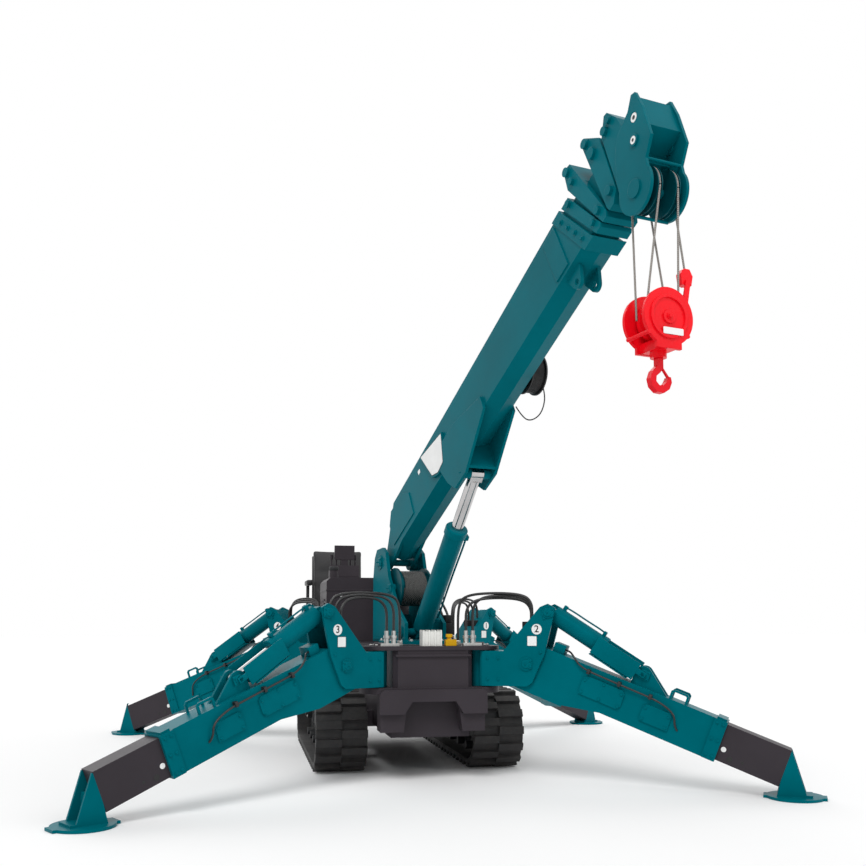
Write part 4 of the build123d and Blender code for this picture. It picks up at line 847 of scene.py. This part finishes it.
def makeLabels():
    for end, side in corners:
        name = end + "_" + side
        frames = legFrames(end, side)
        front = frames["front"]
        facing = frames["bracket"] if front > 0 else frames["bracket"] @ Matrix.Rotation(math.pi, 4, "Y")
        x, y = labels["discPlace"]
        place = facing @ Matrix.Translation((front * x, y, 0.0951))
        disc = turnedPiece("numberDisc_" + name, [(0, labels["discR"]), (0.0008, labels["discR"])], 40)
        fixed(disc, place, "bracket_" + name, "lamp_white", labelWhite)
        number = numberPiece(labels["numbers"][(end, side)], 0.056)
        number.name = "number_" + name
        fixed(number, place @ Matrix.Translation((0, 0, 0.0012)), "bracket_" + name, "black_plastic",
              labelBlack)
        x, y = labels["squarePlace"]
        place = facing @ Matrix.Translation((front * x, y, 0.0951))
        half = labels["squareHalf"]
        rim = cutPlate("squareRim_" + name, squareOutline(half, half), 0.0006, 0.004)
        fixed(rim, place, "bracket_" + name, "black_plastic", labelBlack)
        square = cutPlate("squareLabel_" + name, squareOutline(half - 0.002, half - 0.002), 0.0011, 0.003)
        fixed(square, place, "bracket_" + name, "lamp_white", labelWhite)
        beamFace = frames["arm"] if front > 0 else frames["arm"] @ Matrix.Rotation(math.pi, 4, "Y")
        x, y, radius = labels["beamDot"]
        dot = turnedPiece("beamDot_" + name, [(0, radius), (0.00022, radius)], 24)
        fixed(dot, beamFace @ Matrix.Translation((front * x, y, 0.0620)), "beam_" + name, "lamp_white",
              labelWhite)
        holes = []
        for x, y, radius in labels["beamHoles"]:
            hole = turnedPiece("hole", [(0, radius), (0.0008, radius)], 24)
            hole.data.transform(beamFace @ Matrix.Translation((front * x, y, 0.0620)))
            holes.append(hole)
        fixed(joined("beamHoles_" + name, holes), world, "beam_" + name, "black_plastic", labelBlack)
    grown = [(1.106, 0.206), (1.047, 0.036), (0.959, 0.024), (0.882, 0.057), (0.796, 0.263)]
    pad = cutPlate("boomSignPad", [(1.114, 0.213), (1.056, 0.027), (0.958, 0.013), (0.873, 0.050),
                                   (0.786, 0.271)], 0.0158, 0.012)
    fixed(pad, boomSide @ Matrix.Translation((0, 0, labels["boomSide"])), "boom", "teal_paint")
    rim = cutPlate("boomSignRim", grown, 0.0006, 0.006)
    fixed(rim, boomSide @ Matrix.Translation((0, 0, labels["boomPlate"])), "boom", "black_plastic",
          labelBlack)
    sign = cutPlate("boomSign", labels["boomSign"], 0.0012, 0.006)
    fixed(sign, boomSide @ Matrix.Translation((0, 0, labels["boomPlate"])), "boom", "lamp_white", labelWhite)
    small = cutPlate("boomLabel", squareOutline(0.016, 0.013, (0.708, 0.220)), 0.001, 0.003)
    fixed(small, boomSide @ Matrix.Translation((0, 0, 0.0831)), "boom", "lamp_white", labelWhite)
    rings, centres = [], []
    for x, y, z, radius, thick, inner in labels["cheekRings"]:
        for parts, size, low, high, sides in ((rings, radius, z, thick, 32),
                                              (centres, inner, z + thick + 0.0002, 0.0006, 24)):
            ring = turnedPiece("ring", [(0, size), (high, size)], sides)
            ring.data.transform(boomSide @ Matrix.Translation((x, y, low)))
            parts.append(ring)
    fixed(joined("cheekRings", rings), world, "section_5", "lamp_white", labelWhite)
    fixed(joined("cheekRingCentres", centres), world, "section_5", "black_plastic", labelBlack)
    blank = cutPlate("blockPlate", squareOutline(0.050, 0.014, (0.018, -0.062)), 0.0015, 0.004)
    fixed(blank, blockSide @ Matrix.Translation((0, 0, 0.0812)), "hook_assembly", "lamp_white", labelWhite)
    print("labels made")


# Hydraulics: hoses over the deck, pipes on the cylinders, valve blocks on the arms
hydraulics = {
    "hose": 0.016,
    "top": 1.045,              # height of the hoses' arcs
    "topStep": 0.014,          # each next hose passes over the last
    "bends": (0.092, 0.083),   # radius of an arc at its start and its end
    "spacing": 0.036,
    "blockPlace": (0.315, 0.912),
    "fittings": (-0.262, -0.221, 0.209, 0.250),
    "fittingY": -0.490,
    "fittingTop": 0.858,
    "deckTop": 0.776,
    "frontFoot": (0.175, -0.43),
    "rearFoot": (0.505, 1.175),
    "armHose": 0.011,
    "barrelPipe": 0.010,
    "luffPipe": 0.012,
}
# Sleeve over an outrigger cylinder's rod, along the cylinder from its foot
sleeve = {"start": 0.318, "end": 0.590, "low": -0.072, "high": 0.044, "half": 0.077, "sheet": 0.007,
          "pin": 0.6266}


# A bend drawn as two half turns starts and ends this share of its radius off the corner
chamfer = 2 - math.sqrt(2)


def collarPiece(radius=0.016, height=0.03):
    return turnedPiece("collar", [(0, radius * 1.25), (height * 0.3, radius * 1.25), (height * 0.32, radius),
                                  (height * 0.9, radius), (height, radius * 0.85)], 6)


def makeHydraulics():
    collar = collarPiece()
    for end, side in corners:
        name = end + "_" + side
        frames = legFrames(end, side)
        sign = frames["front"]
        if end == "front":
            fittingY = slewAxis.y + hydraulics["fittingY"]
            fittingZ = hydraulics["fittingTop"]
            starts = [Vector((x, fittingY, fittingZ)) for x in hydraulics["fittings"] if x * sign > 0]
            footX, footY = hydraulics["frontFoot"]
            starts.append(Vector((sign * footX, slewAxis.y + footY, hydraulics["deckTop"])))
        else:
            footX, footY = hydraulics["rearFoot"]
            deckTop = hydraulics["deckTop"]
            starts = [Vector((sign * footX, slewAxis.y + footY + 0.034 * k, deckTop)) for k in range(3)]
        blockX, blockZ = hydraulics["blockPlace"]
        for index, start in enumerate(starts):
            sideways = (index - 1) * hydraulics["spacing"]
            target = frames["bracket"] @ Vector((blockX + 0.012 * index, blockZ + 0.012 * index, sideways))
            out = target - start
            out.z = 0
            out.normalize()
            top = hydraulics["top"] + hydraulics["topStep"] * index
            near, far = (chamfer * bend for bend in hydraulics["bends"])
            points = [start, start + upZ * 0.03, start + upZ * (top - near - start.z),
                      start + out * near + upZ * (top - start.z),
                      (start + target) / 2 + upZ * (top + 0.012 - (start.z + target.z) / 2),
                      target - out * far + upZ * (top - target.z), target + upZ * (top - far - target.z),
                      target + upZ * 0.012, target]
            hose(f"hose_{name}_{index}", points, hydraulics["hose"], "carrier", "bracket_" + name)
            if end == "rear" or index == 2:
                many(f"hoseFoot_{name}_{index}", collar, [Matrix.Translation((start.x, start.y, 0.775))],
                     "carrier", "fitting_steel")
        block = softBlock("hoseBlock_" + name, (0.285, 0.868, -0.062), (0.365, 0.916, 0.062), 0.004)
        fixed(block, frames["bracket"], "bracket_" + name, "motor_paint")
        arm = frames["arm"]
        valve = softBlock("armValve_" + name, (0.105, 0.124, -0.045), (0.175, 0.176, 0.045), 0.004)
        fixed(valve, arm, "arm_" + name, "teal_paint")
        face = 0.094 * sign
        points = [arm @ Vector(p) for p in ((0.16, 0.15, 0.03 * sign), (0.20, 0.16, 0.05 * sign),
                                            (0.24, 0.145, face), (0.30, 0.100, face),
                                            (0.45, 0.096, face), (0.62, 0.094, face),
                                            (0.76, 0.092, face), (0.86, 0.06, face), (0.88, 0.0, face),
                                            (0.90, -0.02, 0.075 * sign))]
        pipe("armHose_" + name, points, hydraulics["armHose"], "arm_" + name, "black_plastic", hoseBlack)
        clips = []
        for x in (0.34, 0.52, 0.70):
            low, high = sorted((0.072 * sign, 0.105 * sign))
            clips.append(softBlock("clip", (x, 0.082, low), (x + 0.018, 0.110, high), 0.003))
        fixed(joined("armClips_" + name, clips), arm, "arm_" + name, "black_plastic")
        barrel = frames["barrel"]
        gland = turnedPiece("gland_" + name,
                            [(0.338, 0.0545), (0.340, 0.059), (0.366, 0.059), (0.3695, 0.056)], 40)
        fixed(gland, barrel @ ways["+x"], "barrel_" + name, "cylinder_paint")
        ports = [softBlock("port", (0.316, 0.050, -0.014), (0.336, 0.080, 0.014), 0.003),
                 softBlock("port", (0.048, 0.045, -0.014), (0.070, 0.080, 0.014), 0.003)]
        fixed(joined("ports_" + name, ports), barrel, "barrel_" + name, "cylinder_paint")
        low, high, half, pin = sleeve["low"], sleeve["high"], sleeve["half"], sleeve["pin"]
        inner = half - sleeve["sheet"]
        blocks = ((sleeve["start"], sleeve["end"], low + 0.012, high, inner),         # the side
                  (pin - 0.0126, pin + 0.0114, -0.012, 0.012, 0.056),                 # the hold on the eye's pin
                  (sleeve["end"] - 0.005, pin + 0.0154, -0.016, 0.016, inner))        # and the link out to it
        sheets = [softBlock("sleeve", (sleeve["start"], low, -half), (0.560, low + 0.0065, half), 0.002)]
        for side in (-1, 1):
            for startX, endX, lowY, highY, near in blocks:
                nearZ, farZ = sorted((side * near, side * half))
                sheets.append(softBlock("sleeve", (startX, lowY, nearZ), (endX, highY, farZ), 0.002))
        fixed(joined("rodSleeve_" + name, sheets), barrel, "rod_" + name, "teal_paint")
        line = [barrel @ Vector(p) for p in ((0.326, 0.070, 0), (0.300, 0.074, 0), (0.20, 0.072, 0),
                                             (0.10, 0.074, 0), (0.06, 0.070, 0))]
        pipe("barrelPipe_" + name, line, hydraulics["barrelPipe"], "barrel_" + name, "cylinder_paint")
    dropped(collar)
    gland = turnedPiece("luffGland", [(0.752, 0.0605), (0.756, 0.067), (0.798, 0.067), (0.8035, 0.063)], 44)
    fixed(gland, luffSide @ ways["+x"], "luff_barrel", "cylinder_paint")
    ports = [softBlock("luffPort", (0.722, -0.016, -0.092), (0.752, 0.016, -0.055), 0.003),
             softBlock("luffPort", (0.085, -0.016, -0.092), (0.115, 0.016, -0.055), 0.003)]
    fixed(joined("luffPorts", ports), luffSide, "luff_barrel", "cylinder_paint")
    line = [luffSide @ Vector(p) for p in ((0.735, 0, -0.080), (0.69, 0, -0.083), (0.5, 0, -0.079),
                                           (0.3, 0, -0.079), (0.14, 0, -0.083), (0.10, 0, -0.080))]
    pipe("luffPipe", line, hydraulics["luffPipe"], "luff_barrel", "cylinder_paint")
    for index, (x, sway) in enumerate(((-0.135, 0.0), (-0.095, 0.02))):
        points = [upperSide @ Vector(p) for p in ((x, 1.080, -0.190), (x + 0.005, 1.02, -0.215 - sway),
                                                  (x + 0.04, 0.94, -0.235 - sway),
                                                  (x + 0.10, 0.885, -0.215 - sway * 0.5),
                                                  (x + 0.135, 0.845, -0.180), (x + 0.14, 0.798, -0.172))]
        hose("motorHose_%d" % index, points, hydraulics["hose"], "upper")
    stack = [softBlock("stack", (-0.02, 0.797, -0.205), (0.055, 0.905, -0.148), 0.004),
             softBlock("stack", (-0.012, 0.905, -0.198), (0.047, 0.955, -0.156), 0.004)]
    fixed(joined("valveStack", stack), upperSide @ Matrix.Translation((0.06, 0, 0)), "upper", "motor_paint")
    print("hoses and pipes made")


# Winding round a drum: one ring of the rope's section, screwed along its axis
def winding(name, radius, width, low, high, turns):
    bpy.ops.object.select_all(action="DESELECT")
    bpy.ops.mesh.primitive_circle_add(vertices=8, radius=width / 2, location=(radius, 0, low),
                                      rotation=(math.pi / 2, 0, 0))
    bpy.ops.object.transform_apply(location=True, rotation=True)
    piece = bpy.context.object
    piece.name = name
    screw = piece.modifiers.new("wound", "SCREW")
    screw.screw_offset = (high - low) / turns
    screw.iterations = turns
    screw.steps = 40
    screw.render_steps = 40
    bpy.ops.object.modifier_apply(modifier="wound")
    bpy.ops.object.mode_set(mode="EDIT")
    bpy.ops.mesh.select_all(action="DESELECT")
    bpy.ops.mesh.select_non_manifold()
    bpy.ops.mesh.edge_face_add()
    return ended(piece, 60)


def makeRopes():
    drum = winding("drumRope", winch["radius"], winch["rope"], -winch["half"], winch["half"], winch["turns"])
    fixed(drum, spot(upperSide, *winch["place"], 0), "upper", "rope_steel", drumShadedWire)
    cable = winding("reelCable", reel["radius"], reel["cable"], reel["from"], reel["to"], reel["turns"])
    fixed(cable, spot(boomSide, *reel["place"], 0), "boom", "black_plastic", hoseBlack)
    points = [boomSide @ Vector(p) for p in ((1.760, 0.074, -0.206), (1.758, 0.030, -0.208),
                                             (1.745, -0.060, -0.200),
                                             (1.700, -0.130, -0.170), (1.640, -0.125, -0.130),
                                             (1.625, -0.060, -0.105),
                                             (1.635, -0.020, -0.085))]
    hose("reelLoop", points, reel["cable"], "boom")
    points = [boomSide @ Vector(p) for p in ((1.760, 0.2055, -0.150), (1.85, 0.2080, -0.147),
                                             (2.20, 0.2170, -0.135),
                                             (2.58, 0.2260, -0.122), (2.600, 0.2260, -0.120))]
    pipe("reelWire", points, 0.006, "boom", "black_plastic", hoseBlack)
    guide = turnedPiece("wireGuide", [(-0.012, 0.011), (-0.011, 0.013), (0.011, 0.013), (0.012, 0.011)], 20)
    fixed(guide, boomSide @ Matrix.Translation((2.60, 0.226, -0.120)) @ ways["+x"], "boom", "black_plastic")
    foot = softBlock("guideFoot", (2.590, 0.215, -0.118), (2.610, 0.237, -0.0825), 0.002)
    fixed(foot, boomSide, "boom", "teal_paint")
    arcs = []
    for lateral in (-0.042, 0.048):
        middle = sheaveCentre - leftward * lateral
        ring = []
        for step in range(13):
            angle = math.radians(-4 + 188 * step / 12)
            ring.append(middle + ahead * (0.0965 * math.cos(angle)) + upZ * (0.0965 * math.sin(angle)))
        arcs.append(smoothLine("sheaveRope", ring, 0.009)[0])
    fixed(joined("sheaveRopes", arcs), world, "section_5", "rope_steel")
    bolt = boltModel(0.010, 0.010)
    many("blockBolts", bolt, [spot(blockSide, 0.003, 0, 0.081), spot(blockSide, 0.003, 0, -0.081, "-z")],
         "hook_assembly",
         "red_paint")
    dropped(bolt)
    print("ropes and hook block made")


# Deck plates, hood fittings and console details
deck = {
    "plates": {"deckPlateFrontLeft": ((-0.290, -0.362), (-0.060, -0.155)),
               "deckPlateFrontRight": ((0.070, -0.362), (0.165, -0.155)),
               "deckPlateRear": ((-0.105, 1.245), (0.292, 1.685))},
    "plateTop": (0.775, 0.7785),
    "hoodFront": 0.565,            # behind the slewing axis, as the next places are
    "screws": ((-0.42, 1.085), (-0.19, 1.085)),
    "exhaust": (-0.430, 1.000, 1.281),
    "console": (-0.330, 1.270),
    "display": (0.066, 1.380, 1.472),
    "knobs": (4, 0.060, 1.20),     # how many, their spacing and height
    "levers": (6, 0.036, 1.300),
}


def makeDeckDetails():
    low, high = deck["plateTop"]
    for name, ((x0, y0), (x1, y1)) in deck["plates"].items():
        plate = softBlock(name, (x0, y0, low), (x1, y1, high), 0.001, 1)
        fixed(plate, world, "carrier", "charcoal_cover", deckTread)
    model = turnedPiece("screw", [(0, 0.008), (0.003, 0.008), (0.005, 0.006)], 18)
    hoodFront = slewAxis.y + deck["hoodFront"] - 0.0005
    screws = [Matrix.Translation((x, hoodFront, z)) @ ways["-y"] for x, z in deck["screws"]]
    many("hoodScrews", model, screws, "carrier", "fitting_steel")
    dropped(model)
    cap = turnedPiece("exhaustCap", [(0, 0.030), (0.003, 0.036), (0.02, 0.036), (0.03, 0.028)], 32)
    fixed(cap, Matrix.Translation(slewAxis + Vector(deck["exhaust"])), "carrier", "steel_frames")
    x, y = deck["console"][0], slewAxis.y + deck["console"][1]
    half, low, high = deck["display"]
    glass = softBlock("displayGlass", (x - half, y - 0.029, low), (x + half, y - 0.0265, high), 0.002, 2)
    fixed(glass, world, "carrier", "black_plastic", screenGlass)
    model = turnedPiece("knob", [(0, 0.009), (0.008, 0.009), (0.010, 0.007)], 20)
    count, spacing, height = deck["knobs"]
    places = [Matrix.Translation((x + (index - (count - 1) / 2) * spacing, y + 0.0605, height)) @ ways["+y"]
              for index in range(count)]
    many("consoleKnobs", model, places, "carrier", "motor_paint")
    dropped(model)
    model = turnedPiece("boot", [(-0.004, 0.016), (0.006, 0.015), (0.008, 0.012), (0.014, 0.0125),
                                 (0.016, 0.009), (0.024, 0.008)], 20)
    count, spacing, height = deck["levers"]
    places = [Matrix.Translation((x + (index - (count - 1) / 2) * spacing, y + 0.030, height))
              for index in range(count)]
    many("leverBoots", model, places, "carrier", "rubber")
    dropped(model)
    print("deck and console dressed")


makeCamera()
makeLights()
makeFloor()
dressNodes()
makeSeat()
makeHydraulics()
makeRopes()
makeLabels()
makeFasteners()
makeDeckDetails()
bpy.context.scene.view_settings.view_transform = "Standard"
